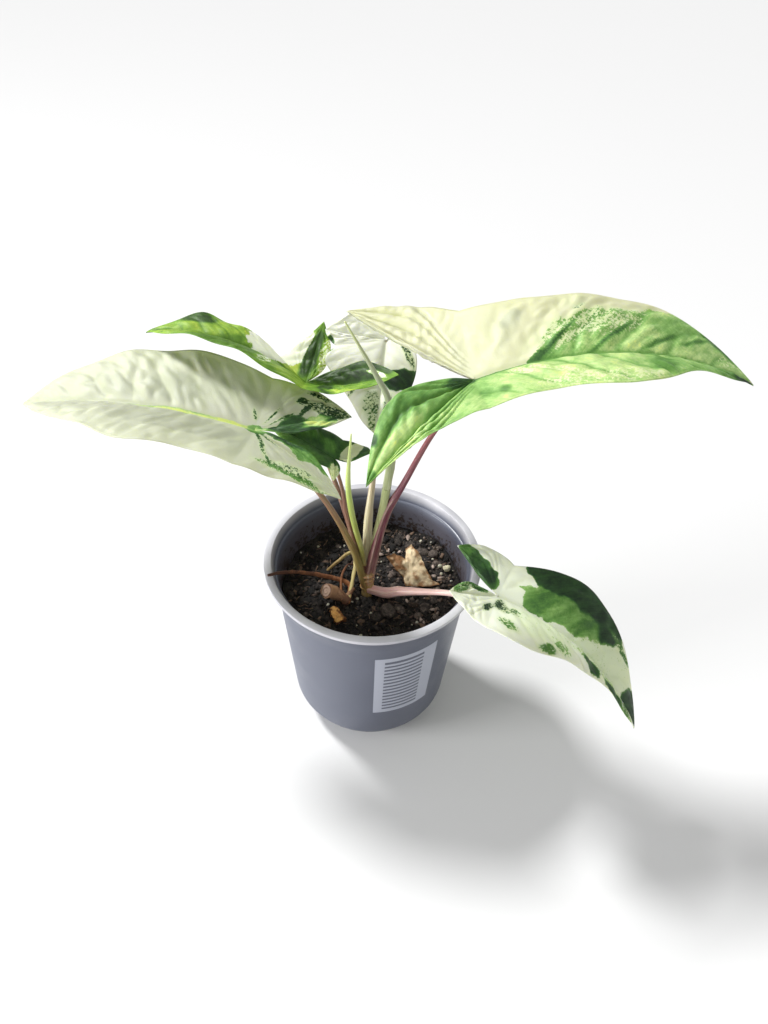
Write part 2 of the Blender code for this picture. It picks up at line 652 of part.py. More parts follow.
def main():
    clear_scene()
    build_pot()
    soil = build_soil()
    build_stems()
    for name, leaf in LEAVES.items():
        build_blade(name, leaf)
    add_object("rolled_leaf", *tube(ROLLED_LEAF, ROLLED_LEAF_RADII, blunt=False))
    add_object("young_spear", *tube(SPEAR, SPEAR_RADII, blunt=False))
    seat(build_old_stem(), soil)
    seat(build_dry_leaf(), soil)
    for name, (x, y, half_sizes, turn) in CHIPS.items():
        seat(build_chip(name, x, y, half_sizes, turn), soil)


main()
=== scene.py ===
"""Dressed scene of a young variegated arrowhead plant in a round plastic nursery pot.

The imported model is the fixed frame, and every node is replaced by a finer piece of the same form.
Sizes are millimetres in the classes and metres in the meshes. +Z is up, +X is right and +Y is away
from the front. The origin is the centre of the pot's base.
"""
from __future__ import annotations

import logging
import math
import random
from dataclasses import dataclass, field, replace
from enum import Enum
from typing import Callable, Sequence

import bmesh
import bpy
import numpy as np
from mathutils import Matrix, Vector, noise

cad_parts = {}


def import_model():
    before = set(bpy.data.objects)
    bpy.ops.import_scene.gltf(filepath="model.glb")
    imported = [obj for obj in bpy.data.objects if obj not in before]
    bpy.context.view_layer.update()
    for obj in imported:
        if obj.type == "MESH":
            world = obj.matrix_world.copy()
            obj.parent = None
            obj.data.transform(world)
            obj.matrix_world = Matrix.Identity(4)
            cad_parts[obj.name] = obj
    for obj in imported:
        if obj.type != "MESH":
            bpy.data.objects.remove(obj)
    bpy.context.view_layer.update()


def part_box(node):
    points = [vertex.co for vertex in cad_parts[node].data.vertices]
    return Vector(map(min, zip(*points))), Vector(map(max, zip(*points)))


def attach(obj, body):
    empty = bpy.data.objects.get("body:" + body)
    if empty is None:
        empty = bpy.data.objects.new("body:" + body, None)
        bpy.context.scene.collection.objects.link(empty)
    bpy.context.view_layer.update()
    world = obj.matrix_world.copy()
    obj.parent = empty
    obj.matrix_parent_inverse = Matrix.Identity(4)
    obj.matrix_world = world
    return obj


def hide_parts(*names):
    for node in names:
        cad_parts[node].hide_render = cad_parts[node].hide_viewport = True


LOG = logging.getLogger("potted_arrowhead_plant")
MM = 0.001
BODY = "root"
PATTERN = "pattern"
DEGENERATE = 1e-8
# The mix node has sockets for each kind of data, and these are the ones for colours.
MIX_SHARE, MIX_FIRST, MIX_SECOND, MIX_RESULT = 0, 6, 7, 2

Point = tuple[float, float, float]
Colour = tuple[float, float, float]
Pair = tuple[float, float]
Marks = tuple[float, float, float, float]
Spot = tuple[float, float, float, float]
Stops = Sequence[tuple[float, Colour]]
Socket = bpy.types.NodeSocket
Material = bpy.types.Material
NO_MARKS: Marks = (0.0, 0.0, 0.0, 0.0)


# Node graphs and finishes


class Sum(Enum):
    """The sums that the node graphs use."""

    PLUS = "ADD"
    MINUS = "SUBTRACT"
    TIMES = "MULTIPLY"
    TIMES_PLUS = "MULTIPLY_ADD"
    POWER = "POWER"


class Graph:
    """The node tree of one material, with short calls for the nodes that the finishes share."""

    glow_colour: Colour = (1.0, 1.0, 0.45)

    def __init__(self, name: str) -> None:
        """Start an empty material with a Principled shader.

        Args:
            name: the material's name.
        """
        self.material = bpy.data.materials.new(name)
        self.material.use_nodes = True
        self.tree = self.material.node_tree
        self.shader = self.tree.nodes["Principled BSDF"]

    def node(self, kind: str, **settings: object) -> bpy.types.Node:
        """Add a node.

        Args:
            kind: Blender's node type.
            settings: properties to set on it.

        Returns:
            The new node.
        """
        made = self.tree.nodes.new(kind)
        for key, value in settings.items():
            setattr(made, key, value)
        return made

    def feed(self, value: object, socket: Socket) -> None:
        """Link a socket or set a constant.

        Args:
            value: an output socket, a number or a colour.
            socket: the input that takes it.
        """
        if isinstance(value, Socket):
            self.tree.links.new(value, socket)
        elif isinstance(value, tuple) and len(value) == 3 and socket.type == "RGBA":
            socket.default_value = (*value, 1.0)
        else:
            socket.default_value = value

    def place(self, stretch: Point = (1.0, 1.0, 1.0), from_uv: bool = False) -> Socket:
        """Coordinates for a pattern.

        Args:
            stretch: factor along each axis.
            from_uv: use the surface's own coordinates in place of the object's.

        Returns:
            A vector socket.
        """
        source = self.node("ShaderNodeTexCoord").outputs["UV" if from_uv else "Object"]
        mapping = self.node("ShaderNodeMapping")
        mapping.inputs["Scale"].default_value = stretch
        self.feed(source, mapping.inputs["Vector"])
        return mapping.outputs["Vector"]

    def noise(self, grain: float, detail: float = 3.0, rough: float = 0.55, where: object = None,
              warp: float = 0.0) -> Socket:
        """Noise value from 0 to 1.

        Args:
            grain: features for each metre, or for each unit of `where`.
            detail: octaves.
            rough: how strong the fine octaves are.
            where: coordinates, the object's own if left out.
            warp: how much the pattern is distorted.

        Returns:
            A value socket.
        """
        made = self.node("ShaderNodeTexNoise")
        self.feed(where if where is not None else self.place(), made.inputs["Vector"])
        made.inputs["Scale"].default_value = grain
        made.inputs["Detail"].default_value = detail
        made.inputs["Roughness"].default_value = rough
        made.inputs["Distortion"].default_value = warp
        return made.outputs["Fac"]

    def cells(self, grain: float, edges: bool = False) -> Socket:
        """Distance to the middles or the edges of irregular cells.

        Args:
            grain: cells for each metre.
            edges: measure to the cells' edges.

        Returns:
            A value socket.
        """
        made = self.node("ShaderNodeTexVoronoi", feature="DISTANCE_TO_EDGE" if edges else "F1")
        self.feed(self.place(), made.inputs["Vector"])
        made.inputs["Scale"].default_value = grain
        return made.outputs["Distance"]

    def math(self, kind: Sum, first: object, second: object, third: object = 0.0) -> Socket:
        """One sum on values.

        Args:
            kind: which sum.
            first: value or socket.
            second: value or socket.
            third: value or socket, where the sum takes three.

        Returns:
            A value socket.
        """
        made = self.node("ShaderNodeMath", operation=kind.value)
        for value, socket in zip((first, second, third), made.inputs):
            self.feed(value, socket)
        return made.outputs["Value"]

    def plus(self, first: object, second: object) -> Socket:
        """Sum of two values or sockets."""
        return self.math(Sum.PLUS, first, second)

    def minus(self, first: object, second: object) -> Socket:
        """Difference of two values or sockets."""
        return self.math(Sum.MINUS, first, second)

    def times(self, first: object, second: object) -> Socket:
        """Product of two values or sockets."""
        return self.math(Sum.TIMES, first, second)

    def sway(self, wave: object, amount: object, start: object) -> Socket:
        """Value that a noise sways up and down by half the amount."""
        return self.math(Sum.TIMES_PLUS, self.minus(wave, 0.5), amount, start)

    def spread(self, value: object, low: float, high: float, to_low: float = 0.0,
               to_high: float = 1.0) -> Socket:
        """Map a range to another one, smoothly and clamped.

        Args:
            value: the socket to map.
            low: its value that gives `to_low`.
            high: its value that gives `to_high`.
            to_low: lowest result.
            to_high: highest result.

        Returns:
            A value socket.
        """
        made = self.node("ShaderNodeMapRange", interpolation_type="SMOOTHSTEP")
        ends = {"From Min": low, "From Max": high, "To Min": to_low, "To Max": to_high}
        for name, number in {"Value": value, **ends}.items():
            self.feed(number, made.inputs[name])
        return made.outputs["Result"]

    def mix(self, share: object, first: object, second: object) -> Socket:
        """Mix two colours.

        Args:
            share: how much of the second.
            first: colour or socket.
            second: colour or socket.

        Returns:
            A colour socket.
        """
        made = self.node("ShaderNodeMix", data_type="RGBA")
        self.feed(share, made.inputs[MIX_SHARE])
        self.feed(first, made.inputs[MIX_FIRST])
        self.feed(second, made.inputs[MIX_SECOND])
        return made.outputs[MIX_RESULT]

    def ramp(self, value: object, stops: Stops) -> Socket:
        """Colour read off a ramp.

        Args:
            value: place on the ramp, 0 to 1.
            stops: places and their colours.

        Returns:
            A colour socket.
        """
        made = self.node("ShaderNodeValToRGB")
        ramp = made.color_ramp
        while len(ramp.elements) < len(stops):
            ramp.elements.new(0.5)
        for element, (where, colour) in zip(ramp.elements, stops):
            element.position = where
            element.color = (*colour, 1.0)
        self.feed(value, made.inputs["Fac"])
        return made.outputs["Color"]

    def drawn(self) -> list[Socket]:
        """The four pattern values stored on the mesh's points.

        Returns:
            The four marks as value sockets.
        """
        made = self.node("ShaderNodeAttribute", attribute_name=PATTERN, attribute_type="GEOMETRY")
        parts = self.node("ShaderNodeSeparateColor")
        self.feed(made.outputs["Color"], parts.inputs["Color"])
        return [*parts.outputs, made.outputs["Alpha"]]

    def bump(self, height: object, depth: float, strength: float = 1.0) -> None:
        """Relief too fine for the mesh.

        Args:
            height: value socket.
            depth: millimetres for a height of 1.
            strength: share of it that is used.
        """
        made = self.node("ShaderNodeBump")
        made.inputs["Strength"].default_value = strength
        made.inputs["Distance"].default_value = depth * MM
        self.feed(height, made.inputs["Height"])
        self.feed(made.outputs["Normal"], self.shader.inputs["Normal"])

    def close(self, colour: object, roughness: object, specular: float = 0.5, glow: float = 0.0,
              glow_reach: float = 1.0) -> Material:
        """Feed the shader.

        Args:
            colour: colour or socket.
            roughness: value or socket.
            specular: strength of the plain reflection.
            glow: how much light passes through thin parts.
            glow_reach: how far it travels, in millimetres.

        Returns:
            The finished material.
        """
        self.feed(colour, self.shader.inputs["Base Color"])
        self.feed(roughness, self.shader.inputs["Roughness"])
        self.shader.inputs["Specular IOR Level"].default_value = specular
        self.shader.inputs["Subsurface Weight"].default_value = glow
        self.shader.inputs["Subsurface Radius"].default_value = self.glow_colour
        self.shader.inputs["Subsurface Scale"].default_value = glow_reach * MM
        return self.material


@dataclass(frozen=True)
class LeafFinish:
    """Variegated leaf: cream ground with green that breaks up into speckles at its edges.

    The mesh's points carry how green, how dark and how broken the colour is, and how near a vein.
    """

    name: str
    cream: Colour = (0.76, 0.78, 0.6)
    grey_cream_and_shade: Colour = (0.36, 0.38, 0.28)
    vein: Colour = (0.52, 0.56, 0.32)
    speckled: Colour = (0.6, 0.74, 0.36)
    greens: Stops = (
        (0.0, (0.58, 0.67, 0.22)), (0.12, (0.42, 0.57, 0.26)), (0.3, (0.215, 0.4, 0.125)),
        (0.5, (0.1, 0.245, 0.055)), (0.75, (0.032, 0.1, 0.026)), (1.0, (0.009, 0.03, 0.013)),
    )
    roughness: float = 0.5
    warmth: float = 0.0
    patch_grain: float = 230.0
    speck_grain: float = 1000.0
    cloud_grain: float = 60.0
    cell_grain: float = 900.0
    streak_stretch: Point = (7.0, 1.6, 1.0)
    vein_and_groove_shade_tone: float = 0.68

    def build(self) -> Material:
        """Make the material.

        Returns:
            The leaf material.
        """
        g = Graph(self.name)
        green, tone, broken, vein = g.drawn()
        patches = g.noise(self.patch_grain, 4.0, 0.6, warp=0.4)
        specks = g.noise(self.speck_grain, 4.0, 0.7, warp=0.4)
        along_veins = g.place(self.streak_stretch, from_uv=True)
        streaks = g.noise(1.0, 4.0, 0.6, where=along_veins, warp=0.5)
        cloud = g.noise(self.cloud_grain, 3.0, 0.5)
        shift = g.sway(streaks, 1.0, g.sway(specks, 2.4, g.minus(patches, 0.5)))
        mask = g.spread(g.math(Sum.TIMES_PLUS, shift, broken, green), 0.42, 0.58)
        depth = g.sway(streaks, 0.3, g.sway(patches, 0.45, tone))
        depth = g.sway(specks, g.times(broken, 0.7), depth)
        # Veins are pulled to one tone: lighter on deep green as real veins are, darker on light
        # green as painted shade in the vein grooves.
        vein_and_groove_shade_pull = g.times(vein, g.spread(tone, 0.0, 0.15, 0.0, 0.75))
        depth = g.math(Sum.TIMES_PLUS, vein_and_groove_shade_pull, g.minus(self.vein_and_groove_shade_tone, depth), depth)
        redder, less_blue = 1 + 0.15 * self.warmth, 1 - 0.7 * self.warmth
        warm = [(at, (r * redder, v, b * less_blue)) for at, (r, v, b) in self.greens]
        # On the cream, tone turns it grey: partly grey variegation, partly painted shade.
        grey_and_shade = g.sway(cloud, 0.5, tone)
        pale = g.mix(g.times(g.spread(grey_and_shade, 0.1, 1.0), 0.85), self.cream, self.grey_cream_and_shade)
        pale = g.mix(g.times(vein, 0.35), pale, self.vein)
        pale = g.mix(g.times(broken, 0.45), pale, self.speckled)
        base = g.mix(mask, pale, g.ramp(depth, warm))
        cells = g.cells(self.cell_grain, edges=True)
        g.bump(g.plus(g.times(cells, 0.7), g.times(specks, 0.6)), 0.12, 0.6)
        rough = g.spread(patches, 0.3, 0.7, self.roughness - 0.05, self.roughness + 0.08)
        return g.close(base, rough, 0.32, glow=0.5, glow_reach=0.7)


@dataclass(frozen=True)
class StalkFinish:
    """Smooth petiole or shoot, finely streaked, with a colour that changes along it."""

    name: str
    stops: Stops
    streak: Colour = (0.6, 0.5, 0.36)
    groove: Colour = (0.1, 0.05, 0.04)
    sheath: Colour = (0.75, 0.68, 0.5)
    streaks: float = 0.35
    roughness: float = 0.34
    glow: float = 0.15
    fine_stretch: Point = (16.0, 0.9, 1.0)
    coarse_stretch: Point = (3.0, 0.25, 1.0)

    def build(self) -> Material:
        """Make the material.

        Returns:
            The stalk material.
        """
        g = Graph(self.name)
        along, edge, _, _ = g.drawn()
        fine = g.noise(1.0, 4.0, 0.6, where=g.place(self.fine_stretch, from_uv=True), warp=0.3)
        coarse = g.noise(1.0, 2.0, 0.5, where=g.place(self.coarse_stretch, from_uv=True))
        base = g.ramp(g.plus(along, g.times(g.minus(coarse, 0.5), 0.16)), self.stops)
        base = g.mix(g.times(g.spread(fine, 0.5, 0.7), self.streaks), base, self.streak)
        base = g.mix(g.times(g.spread(fine, 0.5, 0.3), 0.25), base, self.groove)
        base = g.mix(g.times(edge, 0.35), base, self.sheath)
        g.bump(fine, 0.1, 0.5)
        return g.close(base, self.roughness, 0.5, glow=self.glow, glow_reach=0.8)


@dataclass(frozen=True)
class EarthFinish:
    """Damp peat mix: almost black brown, matt, with lighter crumbs and fibres."""

    name: str
    dark: Colour = (0.0045, 0.0034, 0.0028)
    light: Colour = (0.2, 0.155, 0.128)
    fleck: Colour = (0.2, 0.15, 0.1)
    coarse_grain: float = 420.0
    fine_grain: float = 2600.0

    def build(self) -> Material:
        """Make the material.

        Returns:
            The soil material.
        """
        g = Graph(self.name)
        tone = g.drawn()[0]
        coarse = g.noise(self.coarse_grain, 5.0, 0.7)
        fine = g.noise(self.fine_grain, 3.0, 0.7)
        share = g.plus(g.times(coarse, 0.7), g.times(tone, 0.9))
        base = g.mix(g.math(Sum.POWER, g.spread(share, 0.35, 1.4), 1.5), self.dark, self.light)
        base = g.mix(g.times(g.spread(fine, 0.66, 0.76), 0.35), base, self.fleck)
        g.bump(g.plus(coarse, g.times(fine, 0.5)), 0.8, 0.9)
        return g.close(base, g.spread(fine, 0.3, 0.7, 0.55, 0.85), 0.35)


@dataclass(frozen=True)
class DryFinish:
    """Dead plant matter: wood, bark, root skin or a withered leaf, streaked and matt."""

    name: str
    light: Colour
    dark: Colour
    grain: float = 500.0
    depth: float = 0.35
    roughness: float = 0.75

    def build(self) -> Material:
        """Make the material.

        Returns:
            The dry material.
        """
        g = Graph(self.name)
        tone = g.drawn()[0]
        coarse = g.noise(self.grain * 0.4, 4.0, 0.6, warp=0.5)
        fine = g.noise(self.grain * 3.0, 4.0, 0.7)
        share = g.plus(g.times(coarse, 0.9), g.times(g.minus(fine, 0.5), 0.6))
        share = g.plus(share, g.minus(tone, 0.5))
        base = g.mix(g.spread(share, 0.2, 0.85), self.light, self.dark)
        g.bump(g.plus(coarse, g.times(fine, 0.6)), self.depth, 0.9)
        return g.close(base, self.roughness, 0.3, glow=0.05)


@dataclass(frozen=True)
class PlasticFinish:
    """Moulded grey plastic: soft sheen, flow marks, dried splashes, a painted highlight on the
    rim's top, and a soil film with painted shade inside.
    """

    name: str = "pot_plastic"
    colour: Colour = (0.094, 0.104, 0.142)
    worn: Colour = (0.125, 0.136, 0.176)
    # Lighter grey for the rim's top: a painted highlight.
    painted_rim_highlight: Colour = (0.56, 0.555, 0.59)
    # Brown film of soil inside, also darker: painted shade.
    soil_film_and_shade: Colour = (0.095, 0.075, 0.075)
    dirt: Colour = (0.035, 0.022, 0.016)
    cloud_grain: float = 45.0
    flow_stretch: Point = (420.0, 420.0, 60.0)
    splash_grain: float = 420.0
    fleck_grain: float = 1900.0
    skin_grain: float = 3200.0

    def build(self) -> Material:
        """Make the material.

        Returns:
            The pot material.
        """
        g = Graph(self.name)
        inside, rim_highlight_mask, _, _ = g.drawn()
        cloud = g.noise(self.cloud_grain, 3.0, 0.5)
        flow = g.noise(1.0, 3.0, 0.5, where=g.place(self.flow_stretch))
        base = g.mix(g.spread(cloud, 0.3, 0.75, 0.0, 0.45), self.colour, self.worn)
        base = g.mix(g.times(g.spread(flow, 0.55, 0.75), 0.15), base, self.worn)
        # The rim's top takes the lighter grey: a painted highlight.
        rim_highlight_amount = g.times(rim_highlight_mask, g.spread(cloud, 0.2, 0.6, 0.7, 0.95))
        base = g.mix(rim_highlight_amount, base, self.painted_rim_highlight)
        splash = g.noise(self.splash_grain, 5.0, 0.72, warp=0.4)
        flecks = g.times(g.noise(self.fleck_grain, 2.0, 0.6), 0.12)
        reach = g.math(Sum.TIMES_PLUS, inside, 0.26, g.plus(splash, flecks))
        marks = g.spread(reach, 0.77, 0.83)
        # Darker and browner down the inner wall: a film of soil and painted shade.
        base = g.mix(g.times(g.spread(inside, 0.0, 0.5), 0.45), base, self.soil_film_and_shade)
        base = g.mix(g.times(marks, g.spread(inside, 0.02, 0.15)), base, self.dirt)
        skin = g.noise(self.skin_grain, 2.0, 0.5)
        g.bump(g.plus(skin, g.times(marks, g.times(inside, 1.5))), 0.05, 0.6)
        return g.close(base, g.spread(cloud, 0.3, 0.7, 0.34, 0.46), 0.5)


@dataclass(frozen=True)
class PrintFinish:
    """Flat pale ink on the pot, slightly rubbed."""

    name: str = "pale_print"
    colour: Colour = (0.4, 0.42, 0.49)
    rubbed: Colour = (0.22, 0.23, 0.27)
    rub_grain: float = 500.0

    def build(self) -> Material:
        """Make the material.

        Returns:
            The print material.
        """
        g = Graph(self.name)
        rub = g.noise(self.rub_grain, 4.0, 0.7)
        base = g.mix(g.times(g.spread(rub, 0.6, 0.75), 0.35), self.colour, self.rubbed)
        g.bump(rub, 0.02, 0.4)
        return g.close(base, 0.5, 0.4)


@dataclass(frozen=True)
class StoneFinish:
    """Perlite: crumbly, porous, off-white."""

    name: str = "perlite"
    colour: Colour = (0.66, 0.62, 0.44)
    stained: Colour = (0.4, 0.34, 0.2)
    pore_grain: float = 2200.0
    cloud_grain: float = 600.0

    def build(self) -> Material:
        """Make the material.

        Returns:
            The perlite material.
        """
        g = Graph(self.name)
        cloud = g.noise(self.cloud_grain, 4.0, 0.6)
        base = g.mix(g.spread(cloud, 0.4, 0.7, 0.0, 0.6), self.colour, self.stained)
        g.bump(g.cells(self.pore_grain), 0.25, 0.8)
        return g.close(base, 0.85, 0.25, glow=0.1)


@dataclass(frozen=True)
class FloorFinish:
    """Matt pale studio floor."""

    name: str = "studio_floor"
    colour: Colour = (0.68, 0.68, 0.68)
    shade: Colour = (0.64, 0.64, 0.64)
    cloud_grain: float = 3.0

    def build(self) -> Material:
        """Make the material.

        Returns:
            The floor material.
        """
        g = Graph(self.name)
        cloud = g.noise(self.cloud_grain, 2.0, 0.5)
        return g.close(g.mix(g.times(cloud, 0.1), self.colour, self.shade), 0.9, 0.1)


# Meshes


@dataclass
class Shell:
    """Points, faces and what is stored on the points, while a piece is being built."""

    points: list[Vector] = field(default_factory=list)
    faces: list[tuple[int, ...]] = field(default_factory=list)
    marks: list[Marks] = field(default_factory=list)
    places: list[Pair] = field(default_factory=list)

    def add(self, point: Sequence[float], mark: Marks = NO_MARKS, place: Pair = (0.0, 0.0)) -> int:
        """Add a point.

        Args:
            point: where it is, in millimetres.
            mark: the four values of the pattern there.
            place: its coordinates on the surface.

        Returns:
            Its number.
        """
        self.points.append(Vector(point))
        self.marks.append(mark)
        self.places.append(place)
        return len(self.points) - 1

    def join(self, other: Shell) -> None:
        """Take in another shell's points and faces.

        Args:
            other: the shell, which stays as it is.
        """
        start = len(self.points)
        self.points += other.points
        self.marks += other.marks
        self.places += other.places
        self.faces += [tuple(i + start for i in face) for face in other.faces]

    def grid(self, first: int, rows: int, columns: int, flip: bool = False,
             wrap: bool = False) -> None:
        """Add the faces between rows of points.

        Args:
            first: number of the first point.
            rows: how many rows.
            columns: how many points in a row.
            flip: turn the faces over.
            wrap: close each row into a ring.
        """
        for i in range(rows - 1):
            for j in range(columns if wrap else columns - 1):
                n = (j + 1) % columns
                a, b = first + i * columns + j, first + i * columns + n
                face = (a, b, b + columns, a + columns)
                self.faces.append(face[::-1] if flip else face)

    def close_ends(self, low: int, high: int, first: int, last: int, sides: int) -> None:
        """Close both ends of a tube with fans of triangles.

        Args:
            low: number of the middle point of the first end.
            high: number of the middle point of the other end.
            first: number of the first point of the first ring.
            last: number of the first point of the last ring.
            sides: points in a ring.
        """
        for k in range(sides):
            n = (k + 1) % sides
            self.faces.append((low, first + n, first + k))
            self.faces.append((high, last + k, last + n))

    def lift(self, height: float) -> None:
        """Move every point up by that many millimetres."""
        for point in self.points:
            point.z += height

    def lowest(self) -> float:
        """Height of the lowest point, in millimetres."""
        return min(point.z for point in self.points)


def make_piece(name: str, shell: Shell, finish: Material, nodes: Sequence[str] = (),
               crease: float = 50.0, weld: float = 0.001) -> bpy.types.Object:
    """Turn a shell into an object of the scene that rides on the body.

    Args:
        name: the piece's name.
        shell: its points and faces.
        finish: its material.
        nodes: the CAD nodes that it replaces.
        crease: angle above which an edge stays sharp, in degrees.
        weld: distance below which points are joined, in millimetres.

    Returns:
        The new object.
    """
    mesh = bpy.data.meshes.new(name)
    mesh.from_pydata([tuple(p * MM) for p in shell.points], [], shell.faces)
    pattern = mesh.attributes.new(PATTERN, "FLOAT_COLOR", "POINT")
    pattern.data.foreach_set("color", np.array(shell.marks, dtype=np.float32).ravel())
    surface = mesh.uv_layers.new(name="surface")
    corners = np.zeros(len(mesh.loops), dtype=np.int32)
    mesh.loops.foreach_get("vertex_index", corners)
    surface.data.foreach_set("uv", np.array(shell.places, dtype=np.float32)[corners].ravel())
    if weld > 0:
        work = bmesh.new()
        work.from_mesh(mesh)
        bmesh.ops.remove_doubles(work, verts=work.verts, dist=weld * MM)
        bmesh.ops.dissolve_degenerate(work, dist=DEGENERATE, edges=work.edges)
        bmesh.ops.recalc_face_normals(work, faces=work.faces)
        work.to_mesh(mesh)
        work.free()
    mesh.shade_smooth()
    mesh.set_sharp_from_angle(angle=math.radians(crease))
    piece = bpy.data.objects.new(name, mesh)
    bpy.context.scene.collection.objects.link(piece)
    mesh.materials.append(finish)
    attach(piece, BODY)
    for node in nodes:
        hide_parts(node)
    LOG.info("%s: %d faces", name, len(mesh.polygons))
    return piece


def blend(t: float, start: object, end: object, leave: object, arrive: object) -> object:
    """Smooth blend of two values or vectors.

    Args:
        t: 0 at the start, 1 at the end.
        start: value at the start.
        end: value at the end.
        leave: its slope at the start.
        arrive: its slope at the end.

    Returns:
        The value at `t`.
    """
    return (start * (2 * t**3 - 3 * t**2 + 1) + leave * (t**3 - 2 * t**2 + t)
            + end * (3 * t**2 - 2 * t**3) + arrive * (t**3 - t**2))


def smooth_run(points: Sequence[Sequence[float]], per_span: int) -> list[Vector]:
    """Smooth run through the given points.

    Args:
        points: the points to pass through.
        per_span: steps between two of them.

    Returns:
        The run's points, from the first to the last.
    """
    given = [Vector(p) for p in points]
    ends = [2 * given[0] - given[1]] + given + [2 * given[-1] - given[-2]]
    run = []
    for i in range(1, len(ends) - 2):
        before, start, end, after = ends[i - 1:i + 3]
        span = (end - start).length
        leave = (end - before).normalized() * span
        arrive = (after - start).normalized() * span
        run += [blend(k / per_span, start, end, leave, arrive) for k in range(per_span)]
    run.append(given[-1])
    return run


def turns(sides: int) -> list[float]:
    """Directions evenly round a ring, in radians."""
    return [2 * math.pi * k / sides for k in range(sides)]


def polar(radius: float, turn: float, z: float) -> Point:
    """Point at a radius, a direction in radians and a height."""
    return radius * math.cos(turn), radius * math.sin(turn), z


def ball(divisions: int) -> tuple[list[Vector], list[tuple[int, ...]]]:
    """Even ball of radius 1.

    Args:
        divisions: fineness of its mesh.

    Returns:
        Its points and its faces.
    """
    work = bmesh.new()
    bmesh.ops.create_icosphere(work, subdivisions=divisions, radius=1.0)
    points = [vert.co.copy() for vert in work.verts]
    faces = [tuple(vert.index for vert in face.verts) for face in work.faces]
    work.free()
    return points, faces


def ease(low: float, high: float, value: float) -> float:
    """Smooth step from 0 at `low` to 1 at `high`."""
    t = min(max((value - low) / (high - low), 0.0), 1.0)
    return t * t * (3 - 2 * t)


def bell(off: float, width: float) -> float:
    """Smooth bump: 1 where `off` is 0, and almost 0 from two widths away."""
    return math.exp(-(off / width)**2)


def ruffle(point: Sequence[float], grain: float, seed: float = 0.0) -> float:
    """Noise from about -1 to 1 at a point in millimetres, with features `grain` wide."""
    return noise.noise(Vector(point) / grain + Vector((seed, -seed, seed)))


@dataclass
class Stalk:
    """A round stalk along a smooth path, with a channel and thin sheath edges along part of it."""

    path: Sequence[Point]
    radii: Sequence[float]
    per_span: int = 14
    sides: int = 24
    channel: float = 0.0
    channel_turn: float = 0.0
    channel_end: float = 0.5
    wobble: float = 0.0
    point: float = 0.0
    twist: float = 0.0
    channel_width: float = 0.45
    edge_place: float = 0.75
    edge_width: float = 0.22
    edge_height: float = 0.55

    def build(self) -> Shell:
        """Make the stalk.

        Returns:
            A closed shell whose first mark runs from 0 at the foot to 1 at the top.
        """
        run = smooth_run(self.path, self.per_span)
        shell = Shell()
        across = Vector((0, 1, 0))
        length = 0.0
        spans = len(self.path) - 1
        for i, centre in enumerate(run):
            ahead = (run[min(i + 1, len(run) - 1)] - run[max(i - 1, 0)]).normalized()
            across = (across - ahead * across.dot(ahead)).normalized()
            up = ahead.cross(across)
            length += (centre - run[i - 1]).length if i else 0.0
            where = i / self.per_span
            span = min(int(where), spans - 1)
            radius = self.radii[span] + (self.radii[span + 1] - self.radii[span]) * (where - span)
            share = i / (len(run) - 1)
            sheath = 1 - ease(self.channel_end - 0.05, self.channel_end, share)
            for k, turn in enumerate(turns(self.sides)):
                off = turn - self.channel_turn - self.twist * share
                off = (off + math.pi) % (2 * math.pi) - math.pi
                cut = self.channel * (0.25 + 0.75 * sheath) * bell(off, self.channel_width)
                edge = (self.edge_height * self.channel * sheath
                        * bell(abs(off) - self.edge_place, self.edge_width))
                near = centre + across * math.cos(turn) * 2 + up * math.sin(turn) * 2
                out = radius * (1 - cut + edge) * (1 + self.wobble * ruffle(near, 3.0))
                shell.add(centre + (across * math.cos(turn) + up * math.sin(turn)) * out,
                          (share, edge * 4, 0.0, 0.0), (k / self.sides, length / 10.0))
        shell.grid(0, len(run), self.sides, wrap=True)
        shell.faces.append(tuple(range(self.sides))[::-1])
        last = (len(run) - 1) * self.sides
        if self.point > 0:
            tip = shell.add(
                run[-1] + (run[-1] - run[-2]).normalized() * self.point, (1.0, 0.0, 0.0, 0.0))
            shell.faces += [(last + k, last + (k + 1) % self.sides, tip) for k in range(self.sides)]
        else:
            shell.faces.append(tuple(range(last, last + self.sides)))
        return shell


def lump(centre: Point, half_sizes: Point, turn: float, draw: random.Random, divisions: int = 1,
         rough: float = 0.2, tone: float = 0.0) -> Shell:
    """Small irregular lump.

    Args:
        centre: where it lies, in millimetres.
        half_sizes: its half length, width and height before turning.
        turn: turn about the vertical, in radians.
        draw: source of its irregularity.
        divisions: fineness of its mesh.
        rough: how uneven it is, as a share of its size.
        tone: the value its points carry.

    Returns:
        A closed shell.
    """
    points, faces = ball(divisions)
    spin = Matrix.Rotation(turn, 3, "Z") @ Matrix.Rotation(draw.uniform(-0.5, 0.5), 3, "X")
    shell = Shell(faces=faces)
    for co in points:
        swell = 1 + rough * draw.uniform(-1, 1)
        local = spin @ Vector([c * h * swell for c, h in zip(co, half_sizes)])
        shell.add(local + Vector(centre), (tone, 0.0, 0.0, 0.0))
    return shell


# Pot


